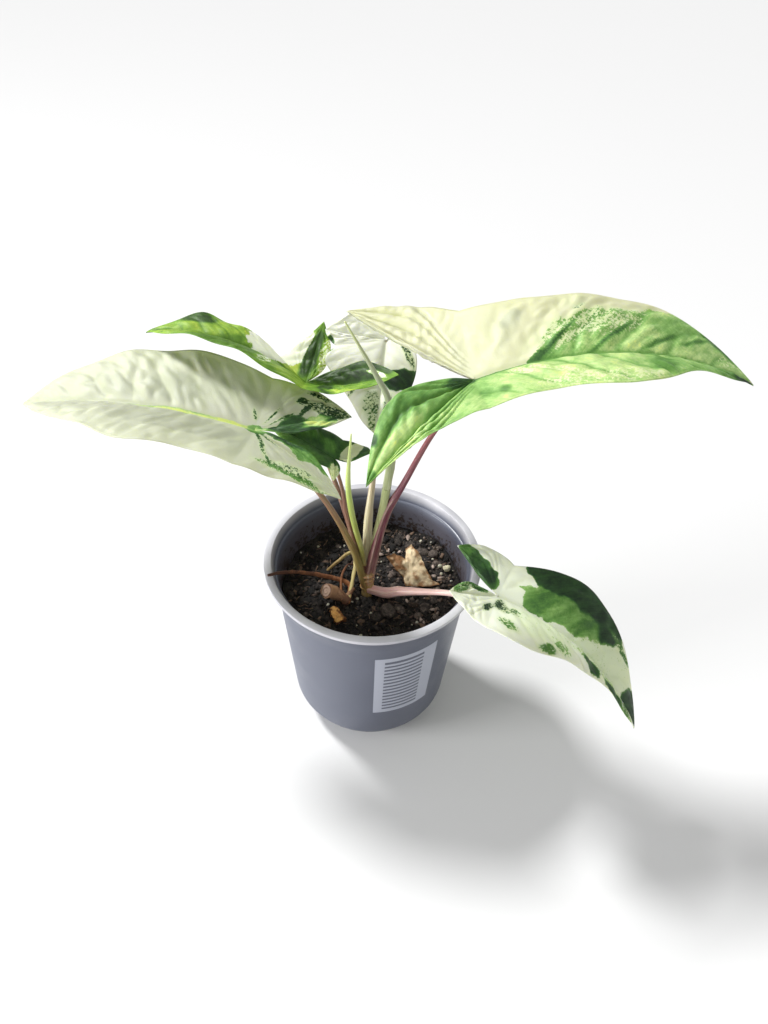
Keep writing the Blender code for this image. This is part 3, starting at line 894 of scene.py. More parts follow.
@dataclass
class Pot:
    """Tapered nursery pot: flat rim, stacking ledge, notched round foot, holes in its floor."""

    height: float = 105.0
    rim_radius: float = 52.5
    rim_width: float = 3.7
    rim_depth: float = 2.2
    collar_radius: float = 48.8
    wall_top: Pair = (47.3, 96.5)
    wall_foot: Pair = (41.0, 15.0)
    wall: float = 1.3
    foot_radius: float = 32.4
    foot_width: float = 3.0
    floor: Pair = (2.0, 4.0)
    boss_radius: float = 9.0
    notches: int = 15
    notch_turn: float = -92.0
    notch_width: float = 5.0
    notch_height: float = 1.8
    drains: int = 8
    drain_radius: float = 3.0
    drain_circle: float = 20.0
    drain_sides: int = 24
    ledge_drop: float = 5.4
    splash_from: float = 84.0
    sides: int = 240
    crease: float = 40.0
    finish: PlasticFinish = field(default_factory=PlasticFinish)

    def outer(self, z: float) -> float:
        """Outer radius of the tapered wall at a height."""
        share = (z - self.wall_foot[1]) / (self.wall_top[1] - self.wall_foot[1])
        return self.wall_foot[0] + (self.wall_top[0] - self.wall_foot[0]) * share

    def inner(self, z: float) -> float:
        """Inner radius of the tapered wall at a height."""
        return self.outer(z) - self.wall

    def profile(self) -> list[Pair]:
        """Radius and height round the section, from the base's centre outside and back inside.

        Returns:
            The section's points.
        """
        foot, under = self.foot_radius, self.height - self.rim_depth
        edge, ledge = self.rim_radius - self.rim_width, self.height - self.ledge_drop
        low, top = self.wall_foot, self.wall_top
        boss, ring = self.boss_radius, foot - self.foot_width
        outside = [
            (boss, 0), (boss + 0.4, 0.4), (boss + 1, self.floor[0]), (ring - 0.6, self.floor[0]),
            (ring, 0.3), (ring + 0.3, 0), (foot - 0.3, 0), (foot, 0.2), (foot + 0.5, 1.0),
            (foot + 1.0, 2.6), (low[0] - 5.6, 5.2), (low[0] - 3.9, 7.0), (low[0] - 2.4, 9.2),
            (low[0] - 1.2, 11.4), (low[0] - 0.4, 13.2), low]
        wall = [(self.outer(z), z) for z in (30, 45, 60, 75, 88)]
        collar, lip, height = self.collar_radius, self.rim_radius, self.height
        rim = [top, (collar - 0.35, top[1] + 1.2), (collar, top[1] + 2.2), (collar, under - 0.3),
               (collar + 0.5, under), (lip - 0.5, under), (lip, under + 0.5), (lip, height - 0.5),
               (lip - 0.15, height - 0.15), (lip - 0.5, height), (edge + 0.4, height),
               (edge + 0.1, height - 0.12), (edge - 0.1, height - 0.5), (edge - 1.3, ledge + 0.8),
               (edge - 1.5, ledge + 0.25), (self.inner(ledge) + 0.4, ledge),
               (self.inner(ledge), ledge - 0.5)]
        inside = [(self.inner(z), z) for z in (94, 88, 80, 60, 30)]
        inside += [(self.inner(low[1]), low[1] + 0.5), (low[0] - 4.3, 10.0), (low[0] - 7.4, 6.2),
                   (foot - 1.5, self.floor[1])]
        return outside + wall + rim + inside

    def build(self) -> Shell:
        """Turn the section round the axis and raise the foot ring at each notch.

        Returns:
            The pot's shell, not yet pierced.
        """
        shell = Shell()
        profile = self.profile()
        peak = max(range(len(profile)), key=lambda i: profile[i][1])
        low = shell.add((0, 0, 0))
        for i, (radius, z) in enumerate(profile):
            past_lip = i > peak + 4
            # `inside` grows down the inner wall; it brings the brown film with painted shade, and
            # the splashes.
            inside = ease(self.height - 2, self.splash_from, z) if past_lip else 0.0
            # Marks the rim's top for the lighter grey of the finish: a painted highlight.
            highlight_from = self.height - (1.0 if past_lip else self.rim_depth - 0.1)
            rim_highlight_mask = ease(highlight_from, highlight_from + 0.5, z)
            notched = z < self.notch_height and radius > self.boss_radius + 2
            for k, turn in enumerate(turns(self.sides)):
                lift = self.notch_lift(turn) * (1 - z / self.notch_height) if notched else 0.0
                shell.add(polar(radius, turn, z + lift), (inside, rim_highlight_mask, 0.0, 0.0),
                          (k / self.sides, z / 10.0))
        shell.grid(1, len(profile), self.sides, wrap=True)
        high = shell.add((0, 0, self.floor[1]))
        last = 1 + (len(profile) - 1) * self.sides
        shell.close_ends(low, high, 1, last, self.sides)
        return shell

    def notch_lift(self, turn: float) -> float:
        """How far the foot ring is raised.

        Args:
            turn: direction from the axis, in radians.

        Returns:
            Millimetres, 0 between the notches.
        """
        pitch = 2 * math.pi / self.notches
        off = (turn - math.radians(self.notch_turn) + pitch / 2) % pitch - pitch / 2
        share = abs(off) * self.foot_radius / (self.notch_width / 2)
        return self.notch_height * (1 - ease(0.62, 1.0, share))

    def pierce(self, piece: bpy.types.Object) -> None:
        """Cut the drain holes.

        Args:
            piece: the pot.
        """
        tools = Shell()
        sides = self.drain_sides
        for turn in turns(self.drains):
            centre = Vector(polar(self.drain_circle, turn, 0))
            first = len(tools.points)
            for z in (self.floor[0] - 1, self.floor[1] + 1):
                for spin in turns(sides):
                    tools.add(centre + Vector(polar(1, spin, 0)) * self.drain_radius
                              + Vector((0, 0, z)))
            tools.grid(first, 2, sides, wrap=True)
            tools.faces.append(tuple(range(first, first + sides))[::-1])
            tools.faces.append(tuple(range(first + sides, first + 2 * sides)))
        mesh = bpy.data.meshes.new("drain_tools")
        mesh.from_pydata([tuple(p * MM) for p in tools.points], [], tools.faces)
        cutter = bpy.data.objects.new("drain_tools", mesh)
        bpy.context.scene.collection.objects.link(cutter)
        cut = piece.modifiers.new("Drains", "BOOLEAN")
        cut.operation = "DIFFERENCE"
        cut.object = cutter
        cut.solver = "EXACT"
        view = bpy.context.evaluated_depsgraph_get()
        pierced = bpy.data.meshes.new_from_object(piece.evaluated_get(view))
        piece.modifiers.clear()
        piece.data = pierced
        pierced.shade_smooth()
        pierced.set_sharp_from_angle(angle=math.radians(self.crease))
        bpy.data.objects.remove(cutter, do_unlink=True)

    def dress(self) -> None:
        """Make the pot's piece."""
        piece = make_piece(
            "pot_shell", self.build(), self.finish.build(), ["pot"], crease=self.crease)
        self.pierce(piece)


@dataclass
class PrintedPanel:
    """Pale printed panel with plain stripes on the front of the pot."""

    pot: Pot
    turn: Pair = (-87.0, -47.0)
    bottom: float = 34.0
    top: float = 84.0
    border: float = 3.0
    left_border: float = 1.5
    right_border: float = 2.4
    stripe: float = 1.5
    standoff: float = 0.06
    finish: PrintFinish = field(default_factory=PrintFinish)

    def patch(self, turns: tuple[float, float], low: float, high: float) -> Shell:
        """One rectangle of ink.

        Args:
            turns: its sides' directions, in degrees.
            low: its lower edge.
            high: its upper edge.

        Returns:
            A thin closed shell that follows the wall.
        """
        shell = Shell()
        steps = max(2, round(abs(turns[1] - turns[0]) / 1.5))
        for off in (self.standoff, -self.standoff):
            for z in (low, high):
                for k in range(steps + 1):
                    turn = math.radians(turns[0] + (turns[1] - turns[0]) * k / steps)
                    shell.add(polar(self.pot.outer(z) + off, turn, z))
        width = steps + 1
        shell.grid(0, 2, width)
        shell.grid(2 * width, 2, width, flip=True)
        rim = [*range(width), *range(2 * width - 1, width - 1, -1)]
        for a, b in zip(rim, rim[1:] + rim[:1]):
            shell.faces.append((a, b, b + 2 * width, a + 2 * width))
        return shell

    def dress(self) -> None:
        """Print the border and the stripes."""
        ink = Shell()
        side = math.degrees(self.border / self.pot.outer(60))
        left, right = self.turn
        inner = (left + side * self.left_border, right - side * self.right_border)
        low, high = self.bottom + self.border, self.top - self.border
        ink.join(self.patch((left, right), high, self.top))
        ink.join(self.patch((left, right), self.bottom, low))
        ink.join(self.patch((left, inner[0]), low, high))
        ink.join(self.patch((inner[1], right), low, high))
        z = low + self.stripe
        while z < high - self.stripe:
            ink.join(self.patch(inner, z, z + self.stripe))
            z += 2 * self.stripe
        make_piece("pot_print", ink, self.finish.build(), (), weld=0)


# Soil


@dataclass(frozen=True)
class Mound:
    """A low heap on the soil."""

    x: float
    y: float
    height: float
    spread: float


@dataclass
class Soil:
    """Potting mix: a dished surface with heaps, crumbs, clods, fibres, bark and perlite.

    Clods that have a place of their own are given by x, y, size and how light they are, and
    grains of perlite by x, y and size.
    """

    pot: Pot
    level: float = 79.3
    dish: float = 4.0
    gap: float = 0.5
    bottom: float = 4.3
    crown: Pair = (-2.0, -1.0)
    hole_radius: float = 3.5
    hole_depth: float = 2.5
    mounds: tuple[Mound, ...] = (
        Mound(28, 26, 4.0, 9.0), Mound(7, -17, 4.0, 4.5), Mound(34, 6, 1.5, 6.0),
        Mound(22, -26, 1.5, 6.0))
    rings: int = 60
    sides: int = 200
    crumbs: int = 4200
    clods: int = 330
    flakes: int = 110
    pale_flakes: int = 44
    fibres: int = 170
    # Their lightness is high at the right and the back and low at the left, as the light falls:
    # painted light and shade on top of their own tone.
    placed_clods: tuple[Spot, ...] = (
        (8.0, -17.5, 4.0, 0.75), (13.5, -14.0, 3.0, 0.9), (3.0, -20.5, 2.8, 0.55),
        (26.5, -13.0, 3.2, 0.8), (31.0, -8.0, 2.4, 0.7), (23.0, -18.0, 2.2, 0.9),
        (26.0, 22.0, 3.4, 0.8), (20.0, 27.0, 3.0, 0.65), (31.5, 20.5, 2.6, 0.85),
        (13.5, 31.0, 3.0, 0.5), (33.0, 14.5, 2.0, 0.9), (-24.0, 9.0, 3.0, 0.2),
        (-30.0, -3.0, 2.6, 0.25), (-12.0, 27.0, 3.2, 0.3), (-27.0, -19.0, 2.8, 0.2),
        (-8.5, -29.0, 2.6, 0.3), (36.0, -3.0, 2.2, 0.75), (12.0, -29.0, 2.6, 0.4),
        (-20.0, 20.0, 2.4, 0.2), (5.0, 33.0, 2.6, 0.4))
    grains: int = 48
    placed_grains: tuple[Point, ...] = (
        (34.6, 12.6, 1.3), (35.2, 8.0, 1.0), (39.5, 13.2, 1.1), (34.0, 5.4, 0.8),
        (-4.5, -31.0, 1.2), (9.5, -1.0, 1.0), (-15.0, 28.0, 0.9), (31.0, 17.0, 0.8),
        (22.0, -24.0, 0.9))
    seed: int = 7

    def surface(self, x: float, y: float) -> float:
        """Height of the soil without its roughness.

        Args:
            x: place across the pot.
            y: place along it.

        Returns:
            Millimetres above the ground.
        """
        z = self.level + self.dish * (x * x + y * y) / self.pot.inner(self.level)**2
        for heap in self.mounds:
            z += heap.height * math.exp(-((x - heap.x)**2 + (y - heap.y)**2) / (2 * heap.spread**2))
        swell = 0.5 * math.sin(0.31 * x + 1.2) * math.cos(0.27 * y)
        return z + swell + 0.4 * math.sin(0.55 * y + 0.4 * x)

    def rough_surface(self, x: float, y: float) -> float:
        """Height of the soil with clods and crumbs, which are lower near the wall.

        Args:
            x: place across the pot.
            y: place along it.

        Returns:
            Millimetres above the ground.
        """
        clear = ease(44.0, 38.0, math.hypot(x, y))
        clods = 0.9 * ruffle((x, y, 0), 6.0) + 0.55 * abs(ruffle((x, y, 3), 2.6))
        clods += 0.3 * ruffle((x, y, 5), 1.1)
        return self.surface(x, y) + clods * (0.4 + 0.6 * clear)

    def body(self) -> Shell:
        """The soil itself, closed below, with a dip round the crown.

        Returns:
            A closed shell.
        """
        shell = Shell()
        radius = self.pot.inner(self.level + self.dish) - self.gap
        low = self.pot.wall_foot[0]
        below = [(self.pot.foot_radius - 1.8, self.bottom), (low - 7.8, 6.5), (low - 4.8, 10.3),
                 (low - 1.8, 15.9)]
        for ring, z in below:
            for turn in turns(self.sides):
                shell.add(polar(ring, turn, z))
        for i in range(self.rings, 0, -1):
            for turn in turns(self.sides):
                x, y, _ = polar(radius * i / self.rings, turn, 0)
                from_crown = math.hypot(x - self.crown[0], y - self.crown[1])
                dip = self.hole_depth * (
                    1 - ease(self.hole_radius - 0.6, self.hole_radius + 0.8, from_crown))
                tone = 0.25 + 0.3 * ruffle((x, y, 9), 9.0)
                shell.add((x, y, self.rough_surface(x, y) - dip), (tone, 0.0, 0.0, 0.0))
        rows = len(below) + self.rings
        shell.grid(0, rows, self.sides, wrap=True)
        under = shell.add((0, 0, self.bottom))
        over = shell.add((0, 0, self.rough_surface(0, 0) - 1.5))
        shell.close_ends(under, over, 0, (rows - 1) * self.sides, self.sides)
        return shell

    def spot(self, draw: random.Random, margin: float) -> Pair:
        """A place on the soil, clear of the wall and the crown.

        Args:
            draw: source of the choice.
            margin: distance to keep from the wall.

        Returns:
            x and y.
        """
        reach = self.pot.inner(self.level) - self.gap - margin
        while True:
            x, y = draw.uniform(-reach, reach), draw.uniform(-reach, reach)
            from_crown = math.hypot(x - self.crown[0], y - self.crown[1])
            if math.hypot(x, y) < reach and from_crown > self.hole_radius + 1:
                return x, y

    def clod(self, centre: Point, half: Point, turn: float, tone: float) -> Shell:
        """A large clod, broken and porous.

        Args:
            centre: its middle.
            half: its half length, width and height.
            turn: turn about the vertical, in radians.
            tone: how light its soil is.

        Returns:
            A closed shell.
        """
        points, faces = ball(4)
        spin = Matrix.Rotation(turn, 3, "Z")
        shell = Shell(faces=faces)
        for co in points:
            point = Vector((co.x * half[0], co.y * half[1], co.z * half[2]))
            place = point + Vector(centre)
            push = (0.3 * ruffle(place, 2.6, 3.0) + 0.3 * abs(ruffle(place, 1.2, 5.0))
                    + 0.22 * abs(ruffle(place, 0.55, 7.0))) * min(half)
            mark = tone * (0.55 + 0.9 * abs(ruffle(place, 0.9, 11.0)))
            mark += 0.2 * ruffle(place, 2.5, 13.0)
            shell.add(spin @ (point + co * push) + Vector(centre), (mark, 0.0, 0.0, 0.0))
        return shell

    def above(self, x: float, y: float, rise: float) -> Point:
        """Point above the rough surface by that many millimetres."""
        return x, y, self.rough_surface(x, y) + rise

    def loose_crumbs(self, draw: random.Random) -> Shell:
        """Small crumbs and clods all over, and the larger clods at their places.

        Args:
            draw: source of the choices.

        Returns:
            All of them in one shell.
        """
        crumbs = Shell()
        for k in range(self.crumbs + self.clods):
            coarse = k >= self.crumbs
            size = 0.9 + 1.0 * draw.random()**2 if coarse else 0.26 + 0.8 * draw.random()**3
            x, y = self.spot(draw, size + 0.3)
            half = (size * draw.uniform(0.8, 1.3), size * draw.uniform(0.6, 1.0),
                    size * draw.uniform(0.5, 0.85))
            # Random tone, raised towards the right and the back, where the light falls: partly
            # painted light.
            tone = draw.uniform(0.0, 1.0)**2 * (0.6 + 0.5 * ease(-10.0, 25.0, x + 0.4 * y))
            crumbs.join(lump(self.above(x, y, 0.2 * size), half, draw.uniform(0, math.pi), draw,
                             2 if coarse else 1, 0.28, tone))
        for x, y, size, tone in self.placed_clods:
            half = (size * draw.uniform(0.9, 1.15), size * draw.uniform(0.7, 0.95),
                    size * draw.uniform(0.45, 0.6))
            crumbs.join(self.clod(self.above(x, y, 0.1 * size), half, draw.uniform(0, 3), tone))
        return crumbs

    def loose_fibres(self, draw: random.Random) -> Shell:
        """Dark flakes and bent fibres of peat.

        Args:
            draw: source of the choices.

        Returns:
            All of them in one shell.
        """
        fibres = Shell()
        for _ in range(self.flakes):
            size = draw.uniform(1.0, 2.6)
            x, y = self.spot(draw, size + 0.3)
            half = (size, size * draw.uniform(0.3, 0.6), draw.uniform(0.25, 0.5))
            fibres.join(lump(self.above(x, y, 0.4), half, draw.uniform(0, math.pi), draw, 2, 0.25,
                             draw.uniform(0.2, 1.0)))
        for _ in range(self.fibres):
            x, y = self.spot(draw, 4.0)
            turn, length = draw.uniform(0, 2 * math.pi), draw.uniform(1.5, 5.5)
            path = []
            for j in range(4):
                step, bent = length * (j / 3 - 0.5), turn + 0.15 * j
                path.append(self.above(x + step * math.cos(bent), y + step * math.sin(bent),
                                       draw.uniform(0.1, 0.7)))
            thick = draw.uniform(0.12, 0.32)
            radii = (thick, thick, thick * 0.8, thick * 0.5)
            fibres.join(Stalk(path, radii, per_span=2, sides=5).build())
        return fibres

    def loose_grains(self, draw: random.Random) -> Shell:
        """Grains of perlite, some at their places and the others all over.

        Args:
            draw: source of the choices.

        Returns:
            All of them in one shell.
        """
        grains = Shell()
        spread = [(*self.spot(draw, 1.5), draw.uniform(0.4, 0.95)) for _ in range(self.grains)]
        for x, y, size in (*self.placed_grains, *spread):
            half = (size, size * draw.uniform(0.7, 1.0), size * draw.uniform(0.6, 0.9))
            grains.join(lump(self.above(x, y, 0.3 * size), half, draw.uniform(0, 3), draw, 2, 0.15))
        return grains

    def loose_bark(self, draw: random.Random) -> Shell:
        """Pale flakes of bark, most of them at the right and the back.

        Args:
            draw: source of the choices.

        Returns:
            All of them in one shell.
        """
        bark = Shell()
        count = 0
        while count < self.pale_flakes:
            x, y = self.spot(draw, 2.6)
            if draw.random() < ease(-15.0, 25.0, x + 0.3 * y):
                size = draw.uniform(0.7, 2.2)
                half = (size, size * draw.uniform(0.35, 0.8), draw.uniform(0.25, 0.7))
                bark.join(lump(self.above(x, y, 0.45), half, draw.uniform(0, math.pi), draw, 2,
                               0.3, draw.uniform(0.1, 0.9)))
                count += 1
        return bark

    def dress(self) -> None:
        """Make the soil's pieces."""
        damp = EarthFinish("damp_peat").build()
        fibre = DryFinish("peat_fibre", (0.17, 0.11, 0.075), (0.03, 0.018, 0.012))
        bark = DryFinish("pale_bark", (0.46, 0.36, 0.31), (0.1, 0.065, 0.05))
        perlite = StoneFinish("small_perlite", (0.52, 0.5, 0.42))
        make_piece("soil_bed", self.body(), damp, ["soil"], crease=180)
        draw = random.Random(self.seed)
        crumbs, fibres = self.loose_crumbs(draw), self.loose_fibres(draw)
        grains, flakes = self.loose_grains(draw), self.loose_bark(draw)
        for name, shell, finish in (("soil_crumbs", crumbs, damp),
                                    ("soil_fibres", fibres, fibre.build()),
                                    ("soil_bark", flakes, bark.build()),
                                    ("soil_perlite", grains, perlite.build())):
            make_piece(name, shell, finish, (), crease=180, weld=0)


# Leaves


@dataclass(frozen=True)
class Half:
    """One half of a blade: half widths along it, its slope from the midrib, its back lobe."""

    widths: tuple[float, ...]
    rise: float
    reach: float
    angle: float
    outer: float
    inner: float
    lift: float
    inner_rise: float = 0.0
    shoulder: float = 0.0


@dataclass(frozen=True)
class Dab:
    """A patch of colour on a blade: an ellipse with a soft, uneven edge.

    Its place is along the midrib and across it, positive to the left, in millimetres. Where it is
    not green, its tone is how grey the cream is: grey variegation and painted shade in one.
    """

    along: float
    across: float
    long: float
    wide: float
    turn: float
    green: float
    tone: float
    broken: float = 0.1
    soft: float = 0.25


@dataclass(frozen=True)
class Paint:
    """Colours of a blade: its ground, the dabs on each half and those across the midrib."""

    ground: Point = (0.0, 0.2, 0.1)
    left: tuple[Dab, ...] = ()
    right: tuple[Dab, ...] = ()
    both: tuple[Dab, ...] = ()


# Shares of a blade's length at which its half widths are given.
STATIONS = (0.0, 0.22, 0.45, 0.7, 0.88, 1.0)


@dataclass
class Blade:
    """An arrow-shaped blade: two front halves and two back lobes on one bent midrib."""

    name: str
    junction: Point
    heading: float
    pitch: float
    length: float
    arch: float
    sag: float
    wave: Pair
    left: Half
    right: Half
    paint: Paint = Paint()
    veins: float = 7.0
    quilt: float = 0.8
    crinkle: float = 0.8
    ripple: float = 1.1
    cream: Colour = (0.76, 0.78, 0.6)
    warmth: float = 0.2
    lobe_groove: float = 0.0
    steps: tuple[int, int, int] = (110, 60, 34)
    thickness: float = 0.5
    puff: float = 1.2
    lobe_puff: float = 0.8
    rib_groove: float = 0.6
    rib_width: float = 0.9
    lobe_rib_groove: float = 0.4
    lobe_rib_width: float = 0.8
    rib_thickness: float = 0.9
    vein_sweep: float = 0.22
    vein_starts: Pair = (0.15, 0.6)
    lobe_veins: Pair = (2.6, 1.7)
    last_vein: float = 3.5
    vein_bend: float = 15.0
    fold_size: float = 6.0
    margin_place: float = 0.93
    margin_width: float = 0.02

    def axes(self) -> tuple[Vector, Vector, Vector]:
        """Directions of the blade at its junction.

        Returns:
            Unit vectors along the blade, to its left and out of its upper face.
        """
        heading, pitch = math.radians(self.heading), math.radians(self.pitch)
        level = math.cos(pitch)
        along = Vector((math.cos(heading) * level, math.sin(heading) * level, math.sin(pitch)))
        left = Vector((-math.sin(heading), math.cos(heading), 0))
        return along, left, along.cross(left)

    def half_width(self, half: Half, q: float) -> float:
        """Half width at a share of the length.

        Args:
            half: the side.
            q: 0 at the junction, 1 at the tip.

        Returns:
            Millimetres from the midrib to the edge.
        """
        widths = half.widths + (0.0,)
        i = max(k for k in range(len(STATIONS) - 1) if STATIONS[k] <= q + 1e-9)

        def slope(k: int) -> float:
            """Slope of the outline at a station."""
            low, high = max(k - 1, 0), min(k + 1, len(STATIONS) - 1)
            return (widths[high] - widths[low]) / (STATIONS[high] - STATIONS[low])

        span = STATIONS[i + 1] - STATIONS[i]
        return blend((q - STATIONS[i]) / span, widths[i], widths[i + 1], span * slope(i),
                     span * slope(i + 1))

    def front(self, half: Half, q: float, v: float, sign: int) -> Spot:
        """Point of the front part.

        Args:
            half: the side.
            q: share along the midrib.
            v: share from the midrib to the edge.
            sign: 1 on the left, -1 on the right.

        Returns:
            Along, across, up and nearness to a vein.
        """
        a = q * self.length
        w = max(self.half_width(half, q), 0.0) * v
        height, count = self.wave
        fade = math.sin(math.pi * q)**0.5 if 0 < q < 1 else 0.0
        up = self.arch * a - self.sag * a * a + half.rise * w + self.puff * 4 * v * (1 - v) * fade
        up += height * math.sin(2 * math.pi * count * q + 0.6) * fade * v * v
        start = self.vein_starts[0 if sign > 0 else 1]
        phase = (q - self.vein_sweep * v**1.25) * self.veins + start
        relief, near = self.relief(phase, v, fade, a, w * sign)
        frill = self.ripple * ruffle((a * 0.06, sign * 3.0, v), 1.0, self.length) * v**3 * fade
        mid = bell(w, self.rib_width) * (1 - 0.6 * q)
        up += relief + frill - self.rib_groove * mid
        return a + half.shoulder * v * (1 - q)**3, w, up, max(near, mid)

    def lobe(self, half: Half, u: float, v: float, inner: bool, sign: int) -> Spot:
        """Point of a back lobe.

        Args:
            half: the side.
            u: share along the lobe's rib.
            v: share from the rib to the edge.
            inner: the edge that faces the notch at the junction.
            sign: 1 on the left, -1 on the right.

        Returns:
            Along, across, up and nearness to a vein.
        """
        angle = math.radians(half.angle)
        tip = Vector((-math.cos(angle), math.sin(angle))) * half.reach
        rib = tip * u
        up = half.lift * u**1.5
        if inner:
            normal = Vector((tip.y, -tip.x)).normalized()
            if normal.x > 0:
                normal = -normal
            bow = half.inner * math.sin(math.pi * u)
            edge = rib + normal * bow
            edge_up = up + half.inner_rise * bow
        else:
            waist = Vector((half.shoulder, half.widths[0]))
            chord = tip - waist
            normal = Vector((chord.y, -chord.x)).normalized()
            if normal.dot(Vector((-0.3, 1))) < 0:
                normal = -normal
            edge = waist.lerp(tip, u) + normal * half.outer * 4 * u * (1 - u)
            edge_up = up + (1 - u) * half.rise * half.widths[0]
        height, count = self.wave
        fade = math.sin(math.pi * u)
        place = rib.lerp(edge, v)
        rise = up + (edge_up - up) * v + self.lobe_puff * 4 * v * (1 - v) * fade
        rise += 0.7 * height * math.sin(2 * math.pi * count * 0.6 * u + 1.0) * fade * v * v
        fan = 0.2 + 0.8 * ease(0.0, 0.55, u)
        phase = 0.04 + v * self.lobe_veins[inner] / fan
        relief, near = self.relief(
            min(phase, self.last_vein), v, fade, -u * half.reach, v * 15 * sign)
        bend = 0.12 * ruffle((u * 3.0, v * 2.0, sign), 1.0, self.length)
        furrow = (1 - abs(math.sin(math.pi * (phase + bend))))**2.2 * fade**0.5
        furrow *= ease(1.0, 0.85, v) * ease(self.last_vein, self.last_vein - 0.3, phase)
        relief -= self.lobe_groove * furrow
        # The furrows count as veins, so the colour darkens in them: painted shade.
        near = max(near, min(1.0, self.lobe_groove) * furrow)
        mid = bell((edge - rib).length * v, self.lobe_rib_width) * (1 - 0.7 * u) * min(1.0, u * 8)
        frill = ruffle((u * self.length * 0.05, sign * 5.0, v + 4), 1.0, self.length)
        rise += relief + self.ripple * frill * v**3 * fade - self.lobe_rib_groove * mid
        return place.x, place.y, rise, max(near, mid * 0.8)

    def relief(self, phase: float, v: float, fade: float, a: float, c: float) -> Pair:
        """Cushions between the side veins, and crumples on them.

        Args:
            phase: counts the veins.
            v: share from the rib to the edge.
            fade: 0 where the relief dies out.
            a: place along the blade, in millimetres.
            c: place across it.

        Returns:
            Height in millimetres, and nearness to a vein from 0 to 1.
        """
        bend = 0.22 * ruffle((a, c, 0), self.vein_bend, self.length)
        cushion = abs(math.sin(math.pi * (phase + bend)))
        window = min(1.0, v / 0.12) * ease(1.0, 0.88, v) * fade
        fold = ruffle((a - 0.7 * abs(c), 0.8 * c, 0), self.fold_size, self.length + 3)
        fold = 1 - 2.4 * abs(fold)
        height = self.quilt * (cushion**0.55 - 0.62) + self.crinkle * (0.45 - fold) * 0.8
        height *= window
        near = (1 - cushion)**5 * ease(1.02, 0.75, v) * min(1.0, fade * 2)
        margin = 0.5 * bell(v - self.margin_place, self.margin_width) * fade
        return height - 0.15 * margin, max(near * 0.75, margin * 0.6)

    def pattern(self, spots: list[Point]) -> np.ndarray:
        """Lay the dabs over the ground colour.

        Args:
            spots: along, across and nearness to a vein, for each point.

        Returns:
            Four pattern values for each point.
        """
        where = np.array(spots)
        along, across, near = where[:, 0], where[:, 1], where[:, 2]
        wobble = np.array([(ruffle((a, c, 0), 9.0, self.length),
                            ruffle((a, c, 7), 9.0, self.length),
                            ruffle((a, c, 3), 2.8), ruffle((a, c, 5), 2.8))
                           for a, c in zip(along, across)])
        values = np.tile(np.array(self.paint.ground), (len(where), 1))
        paint, at_rib = self.paint, 0.01
        layers = [(dab, across > -at_rib) for dab in paint.left]
        layers += [(dab, across < at_rib) for dab in paint.right]
        layers += [(dab, np.full(len(where), True)) for dab in paint.both]
        for dab, allowed in layers:
            turn = math.radians(dab.turn)
            size = min(dab.long, dab.wide)
            wide, narrow = min(3.0, 0.5 * size), min(1.3, 0.25 * size)
            da = along - dab.along + wobble[:, 0] * wide + wobble[:, 2] * narrow
            dc = across - dab.across + wobble[:, 1] * wide + wobble[:, 3] * narrow
            x = (da * math.cos(turn) + dc * math.sin(turn)) / dab.long
            y = (-da * math.sin(turn) + dc * math.cos(turn)) / dab.wide
            t = np.clip((1 + dab.soft - np.sqrt(x * x + y * y)) / (2 * dab.soft), 0, 1)
            share = (t * t * (3 - 2 * t) * allowed)[:, None]
            values = values * (1 - share) + np.array([dab.green, dab.tone, dab.broken]) * share
        return np.concatenate([values, near[:, None]], axis=1)

    def build(self) -> Shell:
        """Make the blade.

        Returns:
            A closed thin shell with its pattern.
        """
        along, left, out = self.axes()
        junction = Vector(self.junction)
        long_steps, lobe_steps, across_steps = self.steps
        middle: list[Vector] = []
        spots: list[Point] = []
        depths: list[float] = []
        cells: list[tuple[int, ...]] = []
        edges: list[list[int]] = []

        def patch(steps: int, sign: int, place: Callable[[float, float], Spot], rib: float) -> None:
            """Add a grid of points from a rib to an edge.

            Args:
                steps: rows along the rib.
                sign: 1 on the left, -1 on the right.
                place: gives a point from its shares along the rib and out to the edge.
                rib: extra thickness along the rib, in millimetres.
            """
            start = len(middle)
            width = across_steps + 1
            for i in range(steps + 1):
                for j in range(width):
                    v = (j / across_steps)**1.15
                    a, c, up, near = place(i / steps, v)
                    middle.append(junction + along * a + left * (c * sign) + out * up)
                    spots.append((a, c * sign, near))
                    edge = self.thickness * (1.0 - 0.5 * v)
                    depths.append(edge + rib * bell(c, 1.1) * (1 - i / steps))
            for i in range(steps):
                for j in range(across_steps):
                    corner = start + i * width + j
                    cell = (corner, corner + 1, corner + width + 1, corner + width)
                    cells.append(cell if sign < 0 else cell[::-1])
            edges.append([start + i * width + across_steps for i in range(steps + 1)])

        for sign, half in ((1, self.left), (-1, self.right)):
            patch(long_steps, sign, lambda q, v: self.front(half, q, v, sign), self.rib_thickness)
            patch(lobe_steps, sign, lambda u, v: self.lobe(half, u, v, False, sign), 0.0)
            patch(lobe_steps, sign, lambda u, v: self.lobe(half, u, v, True, sign), 0.0)

        marks = [tuple(row) for row in self.pattern(spots)]
        places = [((abs(a) - 1.1 * abs(c)) / 10, c / 10) for a, c, _ in spots]
        shell = Shell()
        for point, mark, spot in zip(middle, marks, places):
            shell.add(point + out * self.thickness / 2, mark, spot)
        for point, mark, spot, depth in zip(middle, marks, places, depths):
            shell.add(point + out * (self.thickness / 2 - depth), mark, spot)
        count = len(middle)
        shell.faces += cells + [tuple(i + count for i in cell[::-1]) for cell in cells]
        for run in edges:
            for a, b in zip(run, run[1:]):
                shell.faces.append((a, b, b + count, a + count))
        return shell

    def dress(self) -> None:
        """Make the blade's piece."""
        finish = LeafFinish(f"{self.name}_skin", self.cream, warmth=self.warmth)
        make_piece(
            f"{self.name}_leaf", self.build(), finish.build(), [self.name], crease=180)


# Stalks and shoots


